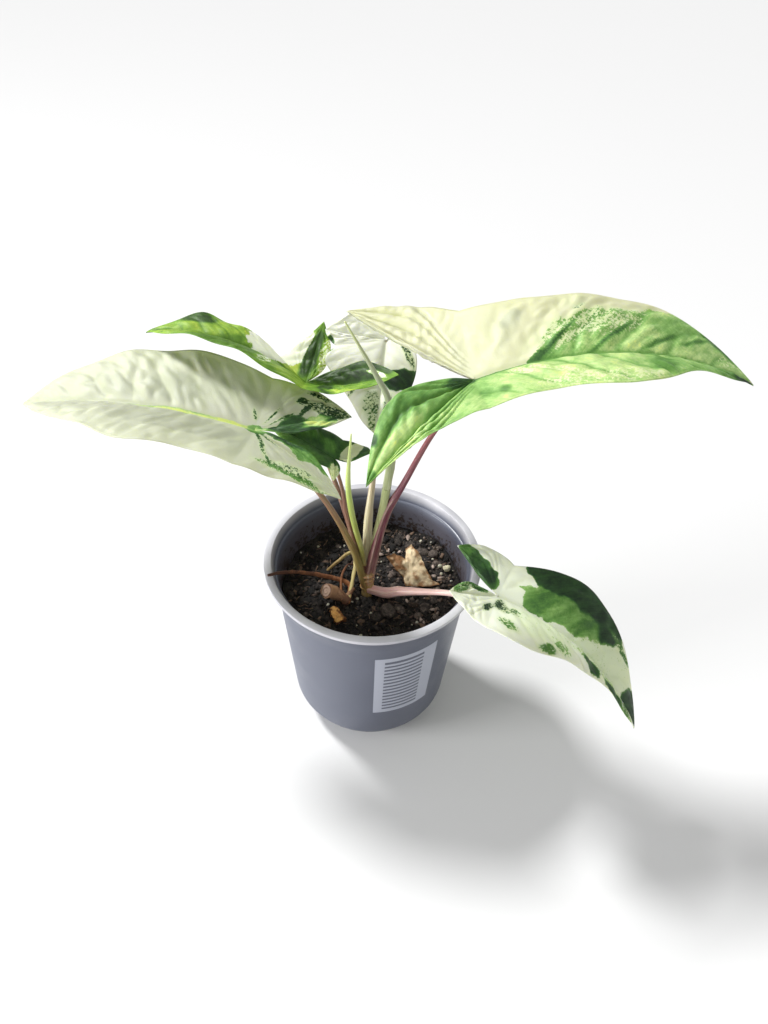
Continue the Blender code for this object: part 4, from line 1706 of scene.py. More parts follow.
@dataclass
class Stems:
    """The crown, the petioles and the feet of the two shoots."""

    leaves: dict[str, Blade]
    crown: tuple[Point, ...] = (
        (-2.0, -1.0, 72.0), (-2.0, -1.0, 80.3), (-2.4, -0.6, 87.0), (-2.6, 0.0, 93.5))
    crown_radii: tuple[float, ...] = (3.2, 3.25, 3.0, 2.7)

    def petiole(self, leaf: str, path: tuple[Point, ...], radii: tuple[float, ...],
                finish: StalkFinish, channel: float = 0.35, turn: float = 0.0,
                end: float = 0.5) -> None:
        """One petiole, up to the underside of its blade.

        Args:
            leaf: name of the blade.
            path: points up to the last stretch.
            radii: radius at each point and at the blade.
            finish: its material.
            channel: depth of its channel, as a share of its radius.
            turn: direction of the channel, in radians.
            end: where its sheath stops, as a share of its length.
        """
        blade = self.leaves[leaf]
        top = Vector(blade.junction) - blade.axes()[2] * 0.45
        stalk = Stalk(
            (*path, tuple(top)), radii, channel=channel, channel_turn=turn, channel_end=end)
        make_piece(f"petiole_{leaf}", stalk.build(), finish.build(), ["stems"], crease=60)

    def dress(self) -> None:
        """Make the crown and every petiole."""
        crown = Stalk(self.crown, self.crown_radii, sides=36, wobble=0.12).build()
        for z, wide in ((83.8, 3.35), (89.0, 3.6), (92.2, 3.3)):
            ring = Stalk(((-2.4, -0.7, z - 0.6), (-2.45, -0.65, z), (-2.5, -0.6, z + 0.8)),
                         (wide - 0.45, wide, wide - 0.6), sides=36, wobble=0.25)
            crown.join(ring.build())
        skin = StalkFinish("crown_skin", (
            (0.0, (0.12, 0.07, 0.03)), (0.25, (0.34, 0.22, 0.07)), (0.6, (0.42, 0.27, 0.09)),
            (0.72, (0.5, 0.22, 0.1)), (1.0, (0.36, 0.24, 0.1))), streaks=0.6, roughness=0.55)
        make_piece("crown", crown, skin.build(), ["stems"], crease=60)
        maroon = StalkFinish("maroon_petiole", (
            (0.0, (0.34, 0.17, 0.1)), (0.12, (0.4, 0.2, 0.17)), (0.3, (0.2, 0.055, 0.075)),
            (0.55, (0.15, 0.035, 0.055)), (0.8, (0.22, 0.055, 0.06)), (1.0, (0.46, 0.2, 0.14))),
            streak=(0.55, 0.36, 0.34))
        self.petiole(
            "blade_right", ((-2, 0, 84), (-1, 0, 96), (5, 0, 131.8), (12.5, 0, 150.5),
            (23.4, 0, 178.7)), (2.6, 2.5, 2.2, 1.5, 1.15, 0.9), maroon, turn=3.6, end=0.55)
        olive = StalkFinish("olive_petiole", (
            (0.0, (0.3, 0.16, 0.06)), (0.3, (0.26, 0.2, 0.06)), (0.6, (0.24, 0.12, 0.07)),
            (1.0, (0.44, 0.46, 0.18))), streak=(0.5, 0.52, 0.2))
        self.petiole(
            "blade_left", ((-3, -2, 84), (-5, -2, 93), (-9, -3, 111.3), (-21.3, -4, 142.3),
            (-37, -2, 165)), (1.9, 1.8, 1.7, 1.3, 1.1, 0.9), olive, turn=1.0)
        brown = StalkFinish("brown_petiole", (
            (0.0, (0.24, 0.12, 0.07)), (0.5, (0.2, 0.09, 0.06)), (1.0, (0.26, 0.16, 0.08))))
        self.petiole(
            "blade_upper_left", ((-3, 0, 84), (-4.6, 1, 91), (-8.2, 4, 107), (-15.5, 14, 127),
            (-26, 29.5, 151)), (1.9, 1.8, 1.6, 1.3, 1.05, 0.8), brown, turn=1.0)
        cream = StalkFinish("cream_petiole", (
            (0.0, (0.52, 0.48, 0.24)), (0.35, (0.68, 0.64, 0.4)), (0.7, (0.52, 0.4, 0.26)),
            (1.0, (0.55, 0.5, 0.3))), streak=(0.46, 0.26, 0.2), streaks=0.5)
        self.petiole(
            "blade_back", ((-2, 1, 84), (-2.7, 2, 99), (-2.8, 8, 119), (-1.2, 16, 135),
            (2.5, 46, 178)), (2.2, 2.2, 2.0, 1.5, 1.15, 0.8), cream, turn=5.4)
        pink = StalkFinish("pink_petiole", (
            (0.0, (0.66, 0.36, 0.34)), (0.35, (0.8, 0.5, 0.46)), (0.8, (0.8, 0.6, 0.54)),
            (1.0, (0.74, 0.66, 0.52))), streak=(0.82, 0.68, 0.62), streaks=0.6)
        self.petiole(
            "blade_low_right", ((-1.5, -2.6, 83), (6.6, -6.4, 84.6), (14.2, -10.2, 90.6),
            (25.2, -17, 98.6), (34.8, -23.2, 105.4), (45, -27.2, 107.5)),
            (2.1, 2.5, 2.3, 1.6, 1.4, 1.15, 0.8), pink, turn=1.6, end=0.36)
        self.petiole(
            "blade_small", ((-4, 0, 95), (-8.2, 1, 111), (-12.6, 2, 132), (-14.6, 3.5, 144),
            (-17.2, 6.5, 153)), (1.3, 1.3, 1.1, 0.9, 0.8, 0.6), replace(brown, name="dark_petiole"),
            turn=1.0)


@dataclass
class Shoots:
    """The rolled leaf and the young spear, each with the stalk that it grows from."""

    rolled_foot: tuple[Point, ...] = (
        (-1.5, 0, 92), (-0.5, 0, 104), (1.4, 0, 118), (4.1, 0, 136.5), (5.4, 0.4, 148))
    rolled: tuple[Point, ...] = (
        (5.45, 0.4, 148.2), (6.7, 1, 163.7), (4.9, 3, 192.1), (0.1, 4, 203.1), (-12.9, 5, 227.2))
    spear: tuple[Point, ...] = (
        (-4, -1.5, 100), (-5.4, -2.4, 111.3), (-8.2, -4, 126), (-10.5, -5.2, 141.2),
        (-11.6, -6.2, 156.5), (-10.1, -8, 183.9))

    def dress(self) -> None:
        """Make both shoots."""
        stalk = StalkFinish("rolled_leaf_stalk", (
            (0.0, (0.4, 0.3, 0.14)), (0.5, (0.42, 0.42, 0.2)), (1.0, (0.36, 0.42, 0.18))),
            streak=(0.62, 0.6, 0.36), streaks=0.5)
        foot = Stalk(
            self.rolled_foot, (1.6, 1.7, 1.8, 1.9, 2.0), channel=0.25, channel_turn=4.6,
            channel_end=0.9)
        make_piece("rolled_leaf_foot", foot.build(), stalk.build(), ["stems"], crease=60)
        roll = Stalk(
            self.rolled, (1.95, 2.0, 1.3, 1.1, 0.35), sides=32, channel=0.3, channel_turn=4.4,
            channel_end=1.2, twist=2.4, point=0.7)
        skin = StalkFinish("rolled_leaf_skin", (
            (0.0, (0.34, 0.38, 0.18)), (0.4, (0.26, 0.32, 0.16)), (0.8, (0.34, 0.38, 0.24)),
            (1.0, (0.55, 0.6, 0.28))), streak=(0.6, 0.62, 0.42), streaks=0.45, glow=0.25)
        make_piece(
            "rolled_leaf_spike", roll.build(), skin.build(), ["rolled_leaf"],
            crease=60)
        young = Stalk(
            self.spear, (1.2, 1.3, 1.3, 1.3, 1.1, 0.3), channel=0.3, channel_turn=4.9,
            channel_end=1.2, twist=0.8, point=0.6)
        fresh = StalkFinish("young_spear_skin", (
            (0.0, (0.32, 0.24, 0.08)), (0.3, (0.36, 0.38, 0.09)), (0.7, (0.44, 0.56, 0.14)),
            (1.0, (0.6, 0.72, 0.26))), streak=(0.7, 0.74, 0.4), glow=0.3)
        make_piece(
            "young_spear_shoot", young.build(), fresh.build(), ["young_spear"],
            crease=60)


# Things that lie on the soil


@dataclass
class OldStem:
    """Cut stub of an old stem with its roots and a torn base."""

    stub: tuple[Point, ...] = (
        (-22.2, -9.6, 88.2), (-20.4, -8.4, 86.2), (-18.0, -7.6, 84.2), (-14.6, -9.0, 83.0),
        (-11.0, -11.6, 82.2))
    stub_radii: tuple[float, ...] = (3.6, 3.5, 3.2, 2.6, 2.0)
    face_rings: int = 16
    face_sides: int = 48
    ring_pitch: float = 14.0

    def cut_face(self) -> Shell:
        """Pale cut face with its rings, a little proud of the stub's end.

        Returns:
            A thin closed lens.
        """
        centre = Vector(self.stub[0])
        ahead = (centre - Vector(self.stub[1])).normalized()
        across = (Vector((0, 1, 0)) - ahead * ahead.y).normalized()
        up = ahead.cross(across)
        shell = Shell()
        sides = self.face_sides
        for i in range(self.face_rings, -1, -1):
            t = i / self.face_rings
            ring, bark = math.cos(t * self.ring_pitch), ease(0.85, 1.0, t)
            for turn in turns(sides):
                flat = (across * math.cos(turn) + up * math.sin(turn)) * t
                flat *= self.stub_radii[0] - 0.25
                rise = 0.14 + 0.14 * ruffle(flat + centre, 1.1) + 0.07 * ring - 0.2 * bark
                tone = 0.4 + 0.25 * ring + 0.4 * bark + 0.3 * ruffle(flat, 1.4)
                shell.add(centre + flat + ahead * max(rise, 0.02), (tone, 0.0, 0.0, 0.0))
        shell.grid(0, self.face_rings + 1, sides, wrap=True)
        back = shell.add(centre - ahead * 0.1)
        shell.faces += [(back, (k + 1) % sides, k) for k in range(sides)]
        return shell

    def dress(self) -> None:
        """Make the stub and the roots, set at their nodes' height."""
        stub = Stalk(self.stub, self.stub_radii, sides=48, wobble=0.16).build()
        torn = Stalk(
            ((-14.4, -11.0, 82.6), (-11.0, -7.2, 83.6), (-8.4, -4.6, 84.6)), (1.3, 1.1, 0.7),
            sides=16, wobble=0.4, channel=0.4, channel_end=1.2).build()
        brown = Stalk(
            ((-11.5, -12.0, 82.4), (-10.8, -6.0, 82.8), (-11.4, -1.0, 83.6), (-20.9, -0.6, 88.0),
            (-34.7, -8.2, 99.4), (-43.4, -15.6, 106.8), (-48.2, -18.2, 107.8)),
            (1.0, 1.1, 1.2, 1.2, 0.9, 0.8, 0.6), sides=16, wobble=0.3).build()
        pale = Stalk(
            ((-11.5, -11.5, 82.4), (-9.6, 1.5, 85.5), (-8.8, 10.0, 88.0), (-10.2, 16.4, 88.6),
            (-17.6, 11.1, 87.0), (-22.9, 9.7, 81.6)), (0.9, 0.9, 0.9, 0.9, 0.9, 0.7), sides=16,
            wobble=0.2).build()
        loop = Stalk(
            ((-14.5, -11.5, 83.5), (-15.2, -5.9, 84.8), (-15.1, 1.3, 87.4), (-12.4, 8.0, 88.0),
            (-9.0, 9.6, 87.0)), (0.6, 0.6, 0.6, 0.5, 0.5), sides=12, wobble=0.2).build()
        lowest = min(part.lowest() for part in (stub, torn, brown, pale, loop))
        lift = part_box("old_stem_roots")[0][2] / MM - lowest
        face = self.cut_face()
        for part in (stub, torn, brown, pale, loop, face):
            part.lift(lift)
        stub.join(torn)
        wood = DryFinish("old_stem_skin", (0.46, 0.26, 0.15), (0.12, 0.055, 0.03), 420.0, 0.5)
        make_piece(
            "old_stem_stub", stub, wood.build(), ["old_stem_roots"], crease=50)
        tan = DryFinish("cut_wood", (0.66, 0.46, 0.36), (0.26, 0.13, 0.08), 600.0, 0.3)
        make_piece(
            "old_stem_cut", face, tan.build(), ["old_stem_roots"], crease=180)
        brown.join(loop)
        rusty = DryFinish("brown_root_skin", (0.34, 0.14, 0.06), (0.07, 0.03, 0.02), 500.0, 0.4)
        make_piece(
            "brown_roots", brown, rusty.build(), ["old_stem_roots"], crease=60)
        fresh = DryFinish("pale_root_skin", (0.6, 0.5, 0.22), (0.3, 0.2, 0.08), 400.0, 0.2, 0.6)
        make_piece(
            "pale_root", pale, fresh.build(), ["old_stem_roots"], crease=60)


@dataclass
class DryLeaf:
    """Creased scrap of dead leaf that leans up from the soil."""

    outline: tuple[tuple[float, float], ...] = (
        (7, 11), (11, 12.5), (16.5, 10.5), (17, 16), (19.5, 18), (24.5, 11.5), (27, 5.5), (31, -1),
        (34, -3), (25, -4), (17, -3.5), (16, 1), (11.5, 5), (9.5, 8))
    middle: Pair = (18.5, 5.0)
    tilt: float = 35.0
    foot: Pair = (4.5, 82.5)
    crease: float = 0.28
    bulge: float = 1.4
    thickness: float = 0.45
    rings: int = 22
    per_side: int = 10

    def edge(self) -> list[Vector]:
        """The outline, with uneven straight runs.

        Returns:
            Points round the scrap in its own plane.
        """
        corners = [Vector(p) for p in self.outline]
        points = []
        for a, b in zip(corners, corners[1:] + corners[:1]):
            for k in range(self.per_side):
                p = a.lerp(b, k / self.per_side)
                nudge = Vector((ruffle((p.x, p.y, 1), 2.2), ruffle((p.x, p.y, 8), 2.2)))
                points.append(p + nudge * 0.7)
        return points

    def dress(self) -> None:
        """Make the scrap, set at its node's height."""
        tilt = math.radians(self.tilt)
        out = Vector((0, -math.sin(tilt), math.cos(tilt)))
        middle = Vector(self.middle)
        edge = self.edge()
        sheet, marks = [], []
        for i in range(self.rings + 1):
            t = i / self.rings
            for p in edge:
                q = middle.lerp(p, t)
                bulge = self.bulge * (1 - ease(0.5, 1.0, t))
                crumple = 1.1 * ruffle((q.x, q.y, 2), 4.0) + 0.5 * ruffle((q.x, q.y, 4), 1.6)
                up = self.crease * abs(q.x - middle.x) + bulge + crumple * ease(0.0, 0.3, t)
                flat = Vector(
                    (q.x, self.foot[0] + q.y * math.cos(tilt), self.foot[1] + q.y * math.sin(tilt)))
                sheet.append(flat + out * up)
                # Lighter along the crease: a painted highlight. Darker towards the left end and at
                # the edge, with random patches.
                rib = bell(q.x - middle.x - 0.15 * q.y, 0.5)
                old = 0.45 * ease(18.5, 14.0, q.x) + 0.4 * ease(0.84, 1.0, t)
                old += 0.6 * ruffle((q.x, q.y, 6), 2.6)
                marks.append((0.36 + old - 0.25 * rib, 0.0, 0.0, 0.0))
        shell = Shell()
        width = len(edge)
        for side in (0.5, -0.5):
            for p, mark in zip(sheet, marks):
                shell.add(p + out * self.thickness * side, mark)
        count = len(sheet)
        shell.grid(0, self.rings + 1, width, wrap=True)
        shell.grid(count, self.rings + 1, width, flip=True, wrap=True)
        last = self.rings * width
        for k in range(width):
            a, b = last + k, last + (k + 1) % width
            shell.faces.append((a, b, b + count, a + count))
        shell.lift(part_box("dry_leaf")[0][2] / MM - shell.lowest())
        tan = DryFinish("withered_leaf", (0.7, 0.56, 0.36), (0.24, 0.12, 0.05), 260.0, 0.4, 0.7)
        make_piece("dry_leaf_scrap", shell, tan.build(), ["dry_leaf"], crease=70)


@dataclass
class Chips:
    """The chip of bark and the perlite that stand out on the mix."""

    bark_place: Point = (-16.4, -20.2, 83.0)
    bark_half: Point = (2.3, 4.5, 1.15)
    bark_turn: float = 30.0
    stone_place: Point = (37.8, 10.2, 84.0)
    stone_half: Point = (1.85, 1.55, 1.35)
    stone_turn: float = 20.0

    def flake(self, place: Point, half: Point, turn: float, square: float, crumple: float,
              skin: float) -> Shell:
        """Uneven chip between a ball and a box.

        Args:
            place: its middle.
            half: its half length, width and height.
            turn: turn about the vertical, in degrees.
            square: 0 for a ball, 1 for a box.
            crumple: depth of its unevenness.
            skin: how strong the painted shade is on its sides and its +x half.

        Returns:
            A closed shell.
        """
        points, faces = ball(5)
        spin = Matrix.Rotation(math.radians(turn), 3, "Z")
        shell = Shell(faces=faces)
        for even in points:
            co = even / max(abs(c) for c in even)**square
            taper = 1 - 0.25 * co.y * ease(0.0, 1.0, square)
            point = Vector((co.x * half[0] * taper, co.y * half[1], co.z * half[2]))
            push = crumple * (ruffle(point, 1.9, 2.0) + 0.5 * ruffle(point, 0.8, 6.0))
            point += even * push
            # Lighter on top, darker on the sides and the +x half: painted light and shade.
            tone = 0.5 - 0.35 * max(co.z, 0.0) + skin * (1 - ease(0.1, 0.8, co.z))
            tone += 0.8 * ruffle(point, 1.6, 9.0)
            tone += skin * 0.8 * ease(0.0, 0.6, co.x)
            shell.add(spin @ point + Vector(place), (tone, 0.0, 0.0, 0.0))
        return shell

    def dress(self) -> None:
        """Make both, set at their nodes' height."""
        bark = self.flake(self.bark_place, self.bark_half, self.bark_turn, 0.85, 1.1, 0.7)
        bark.lift(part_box("bark_chip")[0][2] / MM - bark.lowest())
        orange = DryFinish("orange_bark", (0.72, 0.38, 0.12), (0.16, 0.06, 0.02))
        make_piece("bark_chip_bit", bark, orange.build(), ["bark_chip"], crease=60)
        stone = self.flake(self.stone_place, self.stone_half, self.stone_turn, 0.25, 0.5, 0.1)
        stone.lift(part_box("perlite_bit")[0][2] / MM - stone.lowest())
        make_piece("perlite_lump", stone, StoneFinish().build(), ["perlite_bit"],
                   crease=180)


# The six leaves


RIGHT_PAINT = Paint(
    ground=(0.0, 0.15, 0.1),
    left=(
        # The first five dabs, free of green, grey the cream: painted shade, mostly of the raised
        # cushions.
        Dab(-14, 43, 4, 7, -30, 0, 0.4, 0.1, 0.6), Dab(-4, 13, 3, 12, 15, 0, 0.45, 0.1, 0.6),
        Dab(18, 22, 6, 4, 20, 0, 0.7, 0.1, 0.3), Dab(16, 15, 3, 7, -35, 0, 0.5, 0.1, 0.5),
        Dab(46, 26, 6, 3, 0, 0, 0.35, 0.3, 0.7), Dab(72, 4, 46, 18, 8, 1, 0.16, 0.7, 0.2),
        Dab(104, 12, 19, 15, -25, 1, 0.22, 0.3), Dab(48, 14, 22, 6, 15, 0.5, 0.35, 1.0, 0.5),
        Dab(32, 5, 9, 3, 35, 1, 0.55, 0.6, 0.5), Dab(24, 2, 5, 1.5, 30, 1, 0.7, 0.5),
        Dab(58, 5, 8, 4, 20, 1, 0.12, 0.7, 0.4), Dab(46, 4, 6, 3, 20, 1, 0.25, 0.6, 0.4),
        Dab(40, 11, 12, 2.2, 40, 0.42, 0.2, 1.0, 0.5),
        Dab(64, 14, 13, 3.5, 25, 0.52, 0.3, 1.0, 0.5), Dab(57, 8, 14, 0.9, 33, 1, 0.75, 0.6, 0.5),
        Dab(34, 8, 14, 0.8, 40, 1, 0.8, 0.6, 0.5), Dab(80, 8, 14, 0.9, 28, 1, 0.7, 0.5, 0.5),
        Dab(95, 10, 10, 0.9, 25, 1, 0.65, 0.4, 0.5), Dab(86, 15, 12, 5, 15, 1, 0.34, 0.5, 0.4),
        Dab(109, 5, 7, 3, 0, 0.62, 0.2, 0.9, 0.4), Dab(108, 13, 8, 3.5, -35, 1, 0.65, 0.2, 0.4),
        Dab(46, 22.5, 3, 1.0, 20, 0.55, 0.9, 1.0, 0.4),
    ),
    right=(
        Dab(35, -12, 120, 60, 0, 1, 0.16, 0.3), Dab(5, -5, 6, 3.5, -50, 0.5, 0.1, 0.9, 0.5),
        Dab(17, -6, 3.5, 6, 60, 0.45, 0.1, 1.0, 0.5), Dab(42, -21, 24, 6, -5, 0.6, 0.12, 1.0, 0.5),
        Dab(30, -12, 12, 2, -40, 0.55, 0.1, 1.0, 0.5), Dab(90, -6, 26, 12, 0, 1, 0.3, 0.35, 0.4),
        Dab(62, -20, 8, 2.5, 20, 0.5, 0.1, 1.0, 0.5), Dab(72, -10, 6, 6, 0, 1, 0.55, 0.2, 0.5),
        Dab(104, -4, 8, 5, 0, 1, 0.48), Dab(115, -2, 6, 4, 0, 1, 0.95, 0.3, 0.4),
        Dab(-25, -19, 38, 19, 39, 1, 0.33, 0.25), Dab(-22, -7, 20, 6, 28, 1, 0.46, 0.2, 0.4),
        Dab(-6, -2, 7, 2.5, 20, 1, 0.85), Dab(-34, -28, 16, 6, 45, 1, 0.14, 0.2, 0.4),
        Dab(-9, -20, 10, 5, 20, 1, 0.22, 0.3, 0.4), Dab(8, -15, 2.5, 2.5, 0, 1, 0.55, 0.3, 0.5),
        Dab(1, -13, 2, 3, 0, 1, 0.5, 0.3, 0.5), Dab(-46, -37, 3, 3, 0, 1, 0.5),
        Dab(-43, -22, 2, 4, 20, 1, 0.8),
    ),
)
LEFT_PAINT = Paint(
    ground=(0.0, 0.25, 0.1),
    left=(
        # The first four dabs, free of green, grey the cream: grey variegation and painted shade in
        # one.
        Dab(28, 10, 27, 8, 0, 0, 0.85, 0.0, 0.1), Dab(52, 8, 10, 7, 20, 0, 0.8, 0.0, 0.12),
        Dab(2, 12, 3, 12, 0, 0, 0.6), Dab(76, 5, 22, 4, -3, 0, 0.6, 0.0, 0.2),
        Dab(-21, 20.8, 14, 2.4, -3, 0.75, 0.5, 1.0, 0.5),
        Dab(-22, 17.5, 10, 2.5, 5, 0.36, 0.7, 1.0, 0.5),
        Dab(-9, 15, 7, 0.8, -55, 0.66, 0.7, 1.0, 0.6),
        Dab(-4, 6, 6, 0.9, -52, 0.75, 0.85, 1.0, 0.5),
        Dab(-7, 4, 6, 0.7, -30, 0.66, 0.85, 1.0, 0.6),
        Dab(-23, 6, 18, 3.2, -22, 0.95, 0.45, 0.7, 0.25),
        Dab(-14, 2.6, 12, 1.4, -13, 1, 0.85, 0.7, 0.4), Dab(-6, 9, 5, 0.6, -60, 0.6, 0.8, 1.0, 0.6),
    ),
    right=(
        # The first six dabs, free of green, set how grey the cream is, bright by the midrib and
        # grey further out: grey variegation and painted light and shade in one.
        Dab(12, -3.5, 12, 3, -5, 0, 0.0, 0.0), Dab(5, -20, 6, 11, 0, 0, 0.65),
        Dab(38, -11, 13, 8, -10, 0, 0.68), Dab(65, -8, 14, 5, -12, 0, 0.55),
        Dab(16, -17, 5, 9, -20, 0, 0.5), Dab(-12, -20, 10, 9, 20, 0, 0.5),
        Dab(-16, -4.0, 13, 5.0, 14, 1, 0.92, 0.4, 0.2), Dab(-14, -8, 7, 5.0, 32, 1, 0.8, 0.6, 0.3),
        Dab(-25, -12.5, 7.5, 5.2, 40, 1, 0.06, 0.5, 0.2),
        Dab(-30, -17, 6, 1.6, 40, 0.9, 0.9, 0.9, 0.4),
        Dab(-26, -20.5, 11, 2.8, 5, 0.62, 0.9, 1.0, 0.5),
        Dab(-17, -16, 4, 1.2, 60, 0.8, 0.9, 0.9, 0.5),
        Dab(-21, -26, 7, 1.4, -5, 0.6, 0.9, 1.0, 0.5), Dab(-15, -21, 3, 2, 20, 0.75, 1.0, 1.0, 0.5),
        Dab(-9, -9, 7, 0.6, 46, 0.75, 0.8, 0.9, 0.5), Dab(-5, -9, 6, 0.5, 62, 0.7, 0.8, 1.0, 0.5),
        Dab(2, -7, 0.8, 3, 20, 0.62, 0.8, 1.0, 0.5),
    ),
    both=(
        Dab(-0.5, 0, 3.5, 2.6, 0, 1, 0.55, 0.4), Dab(24, 0.3, 34, 1.3, 1, 0.9, 0.0, 0.1, 0.6),
    ),
)
UPPER_PAINT = Paint(
    ground=(1.0, 0.5, 0.2),
    left=(
        Dab(6, 8, 7, 10, 0, 1, 0.32, 0.2), Dab(19, 8, 4, 8, 0, 0.4, 0.3, 1.0, 0.5),
        Dab(36, 8, 14, 8, 0, 1, 0.62, 0.2, 0.4), Dab(60, 5, 12, 5, 0, 1, 0.35, 0.5, 0.4),
        Dab(-25, 9, 14, 7, -5, 1, 0.46, 0.6, 0.2), Dab(-10, 8, 4, 7, 0, 1, 0.85, 0.2),
        Dab(-17, 12.5, 8, 1.6, -14, 1, 0.24, 0.5, 0.4), Dab(-20, 0.5, 18, 2.5, -8, 1, 0.9, 0.4),
        Dab(-28, 1.5, 7, 0.8, -30, 0.3, 0.2, 0.9),
    ),
    right=(
        Dab(6, -4, 7, 5, 0, 1, 0.22, 0.2), Dab(21, -7, 11, 7, 0, 0, 0.1, 0.4),
        Dab(39, -8, 9, 6, 0, 1, 0.3, 0.4), Dab(53, -10, 8, 4, 0, 1, 0.85, 0.2),
        Dab(55, -3, 16, 3, 0, 1, 0.32, 0.4, 0.4), Dab(-20, -2, 19, 3, 3, 1, 0.9, 0.4),
        Dab(9, -16, 7, 9, 0, 0, 0.15, 0.5), Dab(-5, -12, 3, 7, 0, 0.5, 0.2, 1.0),
        Dab(1, -12, 3, 10, -8, 1, 0.85, 0.5),
    ),
)
BACK_PAINT = Paint(
    ground=(0.0, 0.0, 0.1),
    left=(
        Dab(18, 8, 6, 8, 0, 1, 0.97, 0.4, 0.15), Dab(7, 11, 6, 1.5, 30, 0.62, 0.95, 1.0, 0.5),
        Dab(32, 4, 8, 3, 0, 0.55, 0.8, 1.0, 0.5), Dab(4, 9, 4, 0.8, 40, 0.6, 0.9, 1.0, 0.5),
    ),
    right=(
        Dab(29, -4, 7, 4, 0, 0.48, 0.7, 1.0, 0.5), Dab(37, -2, 6, 2, 0, 0.5, 0.6, 1.0, 0.5),
        Dab(4, -25, 4, 2, 0, 1, 0.8, 0.5), Dab(24, -12, 5, 1, -30, 0.5, 0.7, 1.0, 0.5),
    ),
)
LOW_PAINT = Paint(
    ground=(0.0, 0.08, 0.1),
    left=(
        Dab(3, 12, 4, 9, 0, 0, 0.45), Dab(55, 6, 24, 8, 5, 0.2, 0.0, 0.8, 0.3),
        Dab(34, 20, 29, 11.5, -3, 1, 0.93, 0.2, 0.08), Dab(28, 8.5, 21, 6.5, 5, 1, 0.4, 0.5, 0.15),
        Dab(18, 7, 7, 4, 50, 1, 0.62, 0.6, 0.5), Dab(25, 6, 5, 2.5, 50, 1, 0.34, 0.6, 0.5),
        Dab(40, 10, 7, 2, 40, 1, 0.6, 0.6, 0.5), Dab(62, 16, 10, 1.6, -15, 0.8, 0.6, 1.0, 0.5),
        Dab(83, 3, 9, 6, 0, 1, 0.93, 0.3, 0.2), Dab(-14, 8.5, 13, 5.5, -27, 1, 0.78, 0.3, 0.15),
        Dab(-8, 7.5, 4, 3.5, -30, 1, 0.97, 0.1), Dab(-22, 13, 4, 3, 0, 1, 0.6, 0.3, 0.4),
        Dab(-6, 18, 11, 3, 0, 0, 0.3), Dab(6, 3, 3, 5, -30, 0, 0.0),
    ),
    right=(
        Dab(22, -8, 16, 8, 0, 0.22, 0.0, 0.8, 0.3), Dab(55, -3, 20, 3, 0, 0.42, 0.05, 1.0, 0.4),
        Dab(3, -7, 3, 4, 30, 0.6, 0.8, 1.0, 0.5), Dab(8, -7, 3, 3, 0, 0.55, 0.6, 1.0, 0.5),
        Dab(8, -17, 6, 2.5, -20, 0.62, 0.5, 1.0, 0.6), Dab(27, -19, 5, 3, 15, 0.75, 0.55, 1.0, 0.5),
        Dab(34, -12, 5, 4, 0, 0.55, 0.25, 1.0, 0.5), Dab(50, -6, 6, 2.5, -15, 1, 0.85, 0.6, 0.4),
        Dab(68, -5, 9, 1.6, 0, 1, 0.8, 0.6, 0.4), Dab(80, -3, 8, 2, 0, 0.65, 0.5, 0.9, 0.5),
        Dab(-12, -4, 8, 2.2, 18, 0.78, 0.65, 1.0, 0.4),
        Dab(-17, -11, 2.2, 6, -20, 0.72, 0.6, 1.0, 0.4),
        Dab(-3, -12, 1.6, 4, -20, 0.65, 0.95, 1.0, 0.6), Dab(1, -6, 2, 4, -5, 0.68, 0.95, 1.0, 0.6),
    ),
)
SMALL_PAINT = Paint(
    ground=(1.0, 0.72, 0.1),
    left=(
        Dab(14, 7, 10, 4, 0, 1, 0.5, 0.3, 0.5), Dab(26, 3, 6, 3, 0, 0.95, 0.42, 0.5, 0.4),
        Dab(-3, 7, 3, 4, 0, 0.3, 0.2, 0.8),
    ),
    right=(
        Dab(8, -5, 8, 5, 0, 1, 0.78, 0.1), Dab(18, -5, 7, 3, 0, 1, 0.5, 0.3, 0.5),
        Dab(4, -4, 4, 2.5, 0, 1, 0.52, 0.3, 0.5), Dab(-6, -6, 3.2, 9, -10, 0.0, 0.2, 0.5),
    ),
)


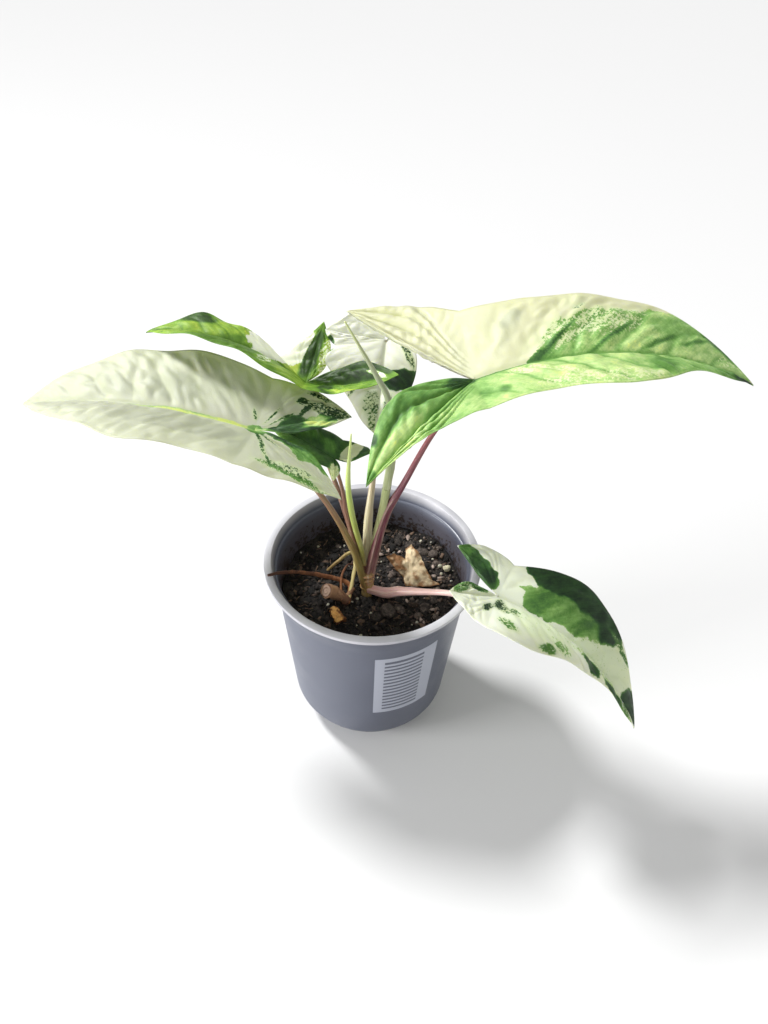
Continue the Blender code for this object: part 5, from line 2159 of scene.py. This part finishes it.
def leaves() -> dict[str, Blade]:
    """Every blade with its shape and its colours.

    Returns:
        The blades by their nodes' names.
    """
    blades = [
        Blade("blade_right", (38.0, 0.0, 206.5), 8, 0, 121, 0.38, 0.0038, (0.5, 3.0),
              Half((35, 32, 30, 25, 15), 0.3, 68, 48, 5.5, 1.5, 4, 0.1),
              Half((24.5, 23, 27, 12, 5.5), 0.15, 61, 39.5, -2.5, 15.5, -18, 0.3),
              paint=RIGHT_PAINT, veins=6.0, quilt=1.2, crinkle=1.0, cream=(0.53, 0.53, 0.35),
              lobe_groove=1.3),
        Blade("blade_left", (-50.5, 0.0, 178.5), 170, 0, 105.5, 0.23, 0.0025, (0.6, 3.5),
              Half((28, 26, 28, 18, 10), 0.16, 45.5, 25, 2, 6, -14, 0.2),
              Half((28, 33, 31, 25, 14), 0.26, 42.5, 31, 4, 7.5, -3, 0.1), paint=LEFT_PAINT,
              crinkle=0.8, cream=(0.47, 0.485, 0.375)),
        Blade("blade_upper_left", (-32.0, 33.0, 180.5), 172, 12, 73, 0.52, 0.0067, (0.9, 3.0),
              Half((15, 19, 15.5, 11, 7), 0.5, 39, 9, 3, 8, 22, 0.9),
              Half((10, 12, 11.5, 14, 7), 0.1, 24, 90, 1, 7, 18, 0.2, 16),
              paint=UPPER_PAINT, steps=(90, 60, 26), quilt=0.6,
              cream=(0.72, 0.73, 0.66), warmth=1.0),
        Blade("blade_back", (3.5, 48.0, 194.5), -97, -50, 43, 0.25, 0.006, (0.6, 2.5),
              Half((12.5, 15, 14, 9, 5), 0.1, 15, 70, 1, 4, 1, 0.0),
              Half((22, 26, 20, 12, 6.5), 0.1, 28, 86, 1, 11, 1, 0.0, 5),
              paint=BACK_PAINT, steps=(70, 40, 26), quilt=0.5, cream=(0.74, 0.75, 0.68)),
        Blade("blade_low_right", (56.5, -30.0, 112.0), -25, -22, 90.5, 0.33, 0.0064, (0.5, 3.0),
              Half((18, 26, 27.5, 19, 8.5), 0.2, 30, 27, 5, 1.5, -2, 0.0),
              Half((26, 25, 14.5, 7, 4.5), 0.35, 28.5, 42, 1, 6, 7, 0.0),
              paint=LOW_PAINT, steps=(100, 50, 32), quilt=0.7,
              cream=(0.74, 0.77, 0.66)),
        Blade("blade_small", (-18.5, 8.0, 158.0), 165, 22, 32, 0.1, 0.003, (0.4, 2.0),
              Half((9, 11, 10, 7, 3.5), 0.2, 9, 60, 2, 3, -5, 0.0),
              Half((11, 11, 10, 7, 3.5), 0.2, 14, 18, 5, 2, 9, 0.0),
              paint=SMALL_PAINT, steps=(50, 30, 20), quilt=0.4),
    ]
    return {blade.name: blade for blade in blades}


# Studio


class Lamp(Enum):
    """The studio's lights.

    Each has the direction that it shines from, its power, and its width, in degrees for the
    distant key light and in metres for the others.
    """

    KEY = ((-0.7, 0.5, 1.05), 3.5, 10.0)
    LEFT = ((-1.0, -0.3, 0.3), 2.0, 0.5)
    FRONT = ((0.15, -0.8, 0.9), 0.16, 0.7)


@dataclass
class Studio:
    """Pale floor, soft lights and the camera at the photograph's viewing angle."""

    camera_place: Point = (0.0, -256.0, 375.0)
    camera_down: float = 43.3
    camera_turn: float = 1.03
    camera_roll: float = 2.29
    focal_pixels: float = 769.0
    frame_height: int = 1024
    sensor: float = 36.0
    floor_size: float = 6.0
    floor_gap: float = 0.0002
    lamp_distance: float = 1.4
    area_power: float = 10.0
    world_strength: float = 0.46
    backdrop_strength: float = 0.9

    def shoot(self) -> None:
        """Place the camera."""
        angles = (self.camera_down, self.camera_turn, self.camera_roll)
        down, turn, roll = (math.radians(angle) for angle in angles)
        ahead = Vector((math.sin(turn) * math.cos(down), math.cos(turn) * math.cos(down),
                        -math.sin(down)))
        level = Vector((math.cos(turn), -math.sin(turn), 0))
        over = level.cross(ahead)
        right = level * math.cos(roll) + over * math.sin(roll)
        up = over * math.cos(roll) - level * math.sin(roll)
        data = bpy.data.cameras.new("photo_camera")
        data.sensor_width = self.sensor
        data.lens = self.sensor * self.focal_pixels / self.frame_height
        data.clip_start = 0.01
        camera = bpy.data.objects.new("photo_camera", data)
        camera.matrix_world = Matrix.Translation(Vector(self.camera_place) * MM) @ Matrix(
            (right, up, -ahead)).transposed().to_4x4()
        bpy.context.scene.collection.objects.link(camera)
        bpy.context.scene.camera = camera

    def light(self) -> None:
        """Hang the lights and make the surroundings pale."""
        for lamp in Lamp:
            direction, power, width = lamp.value
            away = Vector(direction).normalized()
            if lamp is Lamp.KEY:
                data = bpy.data.lights.new("key_light", "SUN")
                data.angle = math.radians(width)
                data.energy = power
            else:
                data = bpy.data.lights.new(f"{lamp.name.lower()}_light", "AREA")
                data.size = width
                data.energy = power * self.area_power
            hung = bpy.data.objects.new(data.name, data)
            aim = away.to_track_quat("Z", "Y").to_matrix().to_4x4()
            hung.matrix_world = Matrix.Translation(away * self.lamp_distance) @ aim
            bpy.context.scene.collection.objects.link(hung)
        world = bpy.data.worlds.new("studio_air")
        world.use_nodes = True
        tree = world.node_tree
        background = tree.nodes["Background"]
        background.inputs["Color"].default_value = (1.0, 1.0, 1.0, 1.0)
        seen = tree.nodes.new("ShaderNodeMapRange")
        path = tree.nodes.new("ShaderNodeLightPath")
        tree.links.new(path.outputs["Is Camera Ray"], seen.inputs["Value"])
        seen.inputs["To Min"].default_value = self.world_strength
        seen.inputs["To Max"].default_value = self.backdrop_strength
        tree.links.new(seen.outputs["Result"], background.inputs["Strength"])
        bpy.context.scene.world = world
        bpy.context.scene.view_settings.view_transform = "Standard"

    def ground(self) -> None:
        """Lay the floor."""
        half = self.floor_size / 2
        mesh = bpy.data.meshes.new("studio_floor")
        corners = [(-half, -half, 0), (half, -half, 0), (half, half, 0), (-half, half, 0)]
        mesh.from_pydata(corners, [], [(0, 1, 2, 3)])
        floor = bpy.data.objects.new("studio_floor", mesh)
        floor.location.z = -self.floor_gap
        mesh.materials.append(FloorFinish().build())
        bpy.context.scene.collection.objects.link(floor)

    def dress(self) -> None:
        """Set up the whole studio."""
        self.shoot()
        self.light()
        self.ground()


def main() -> None:
    """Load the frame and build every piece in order."""
    logging.basicConfig(level=logging.INFO, format="%(message)s")
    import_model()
    Studio().dress()
    pot = Pot()
    pot.dress()
    PrintedPanel(pot).dress()
    Soil(pot).dress()
    blades = leaves()
    Stems(blades).dress()
    Shoots().dress()
    for blade in blades.values():
        blade.dress()
    OldStem().dress()
    DryLeaf().dress()
    Chips().dress()


if __name__ == "__main__":
    main()
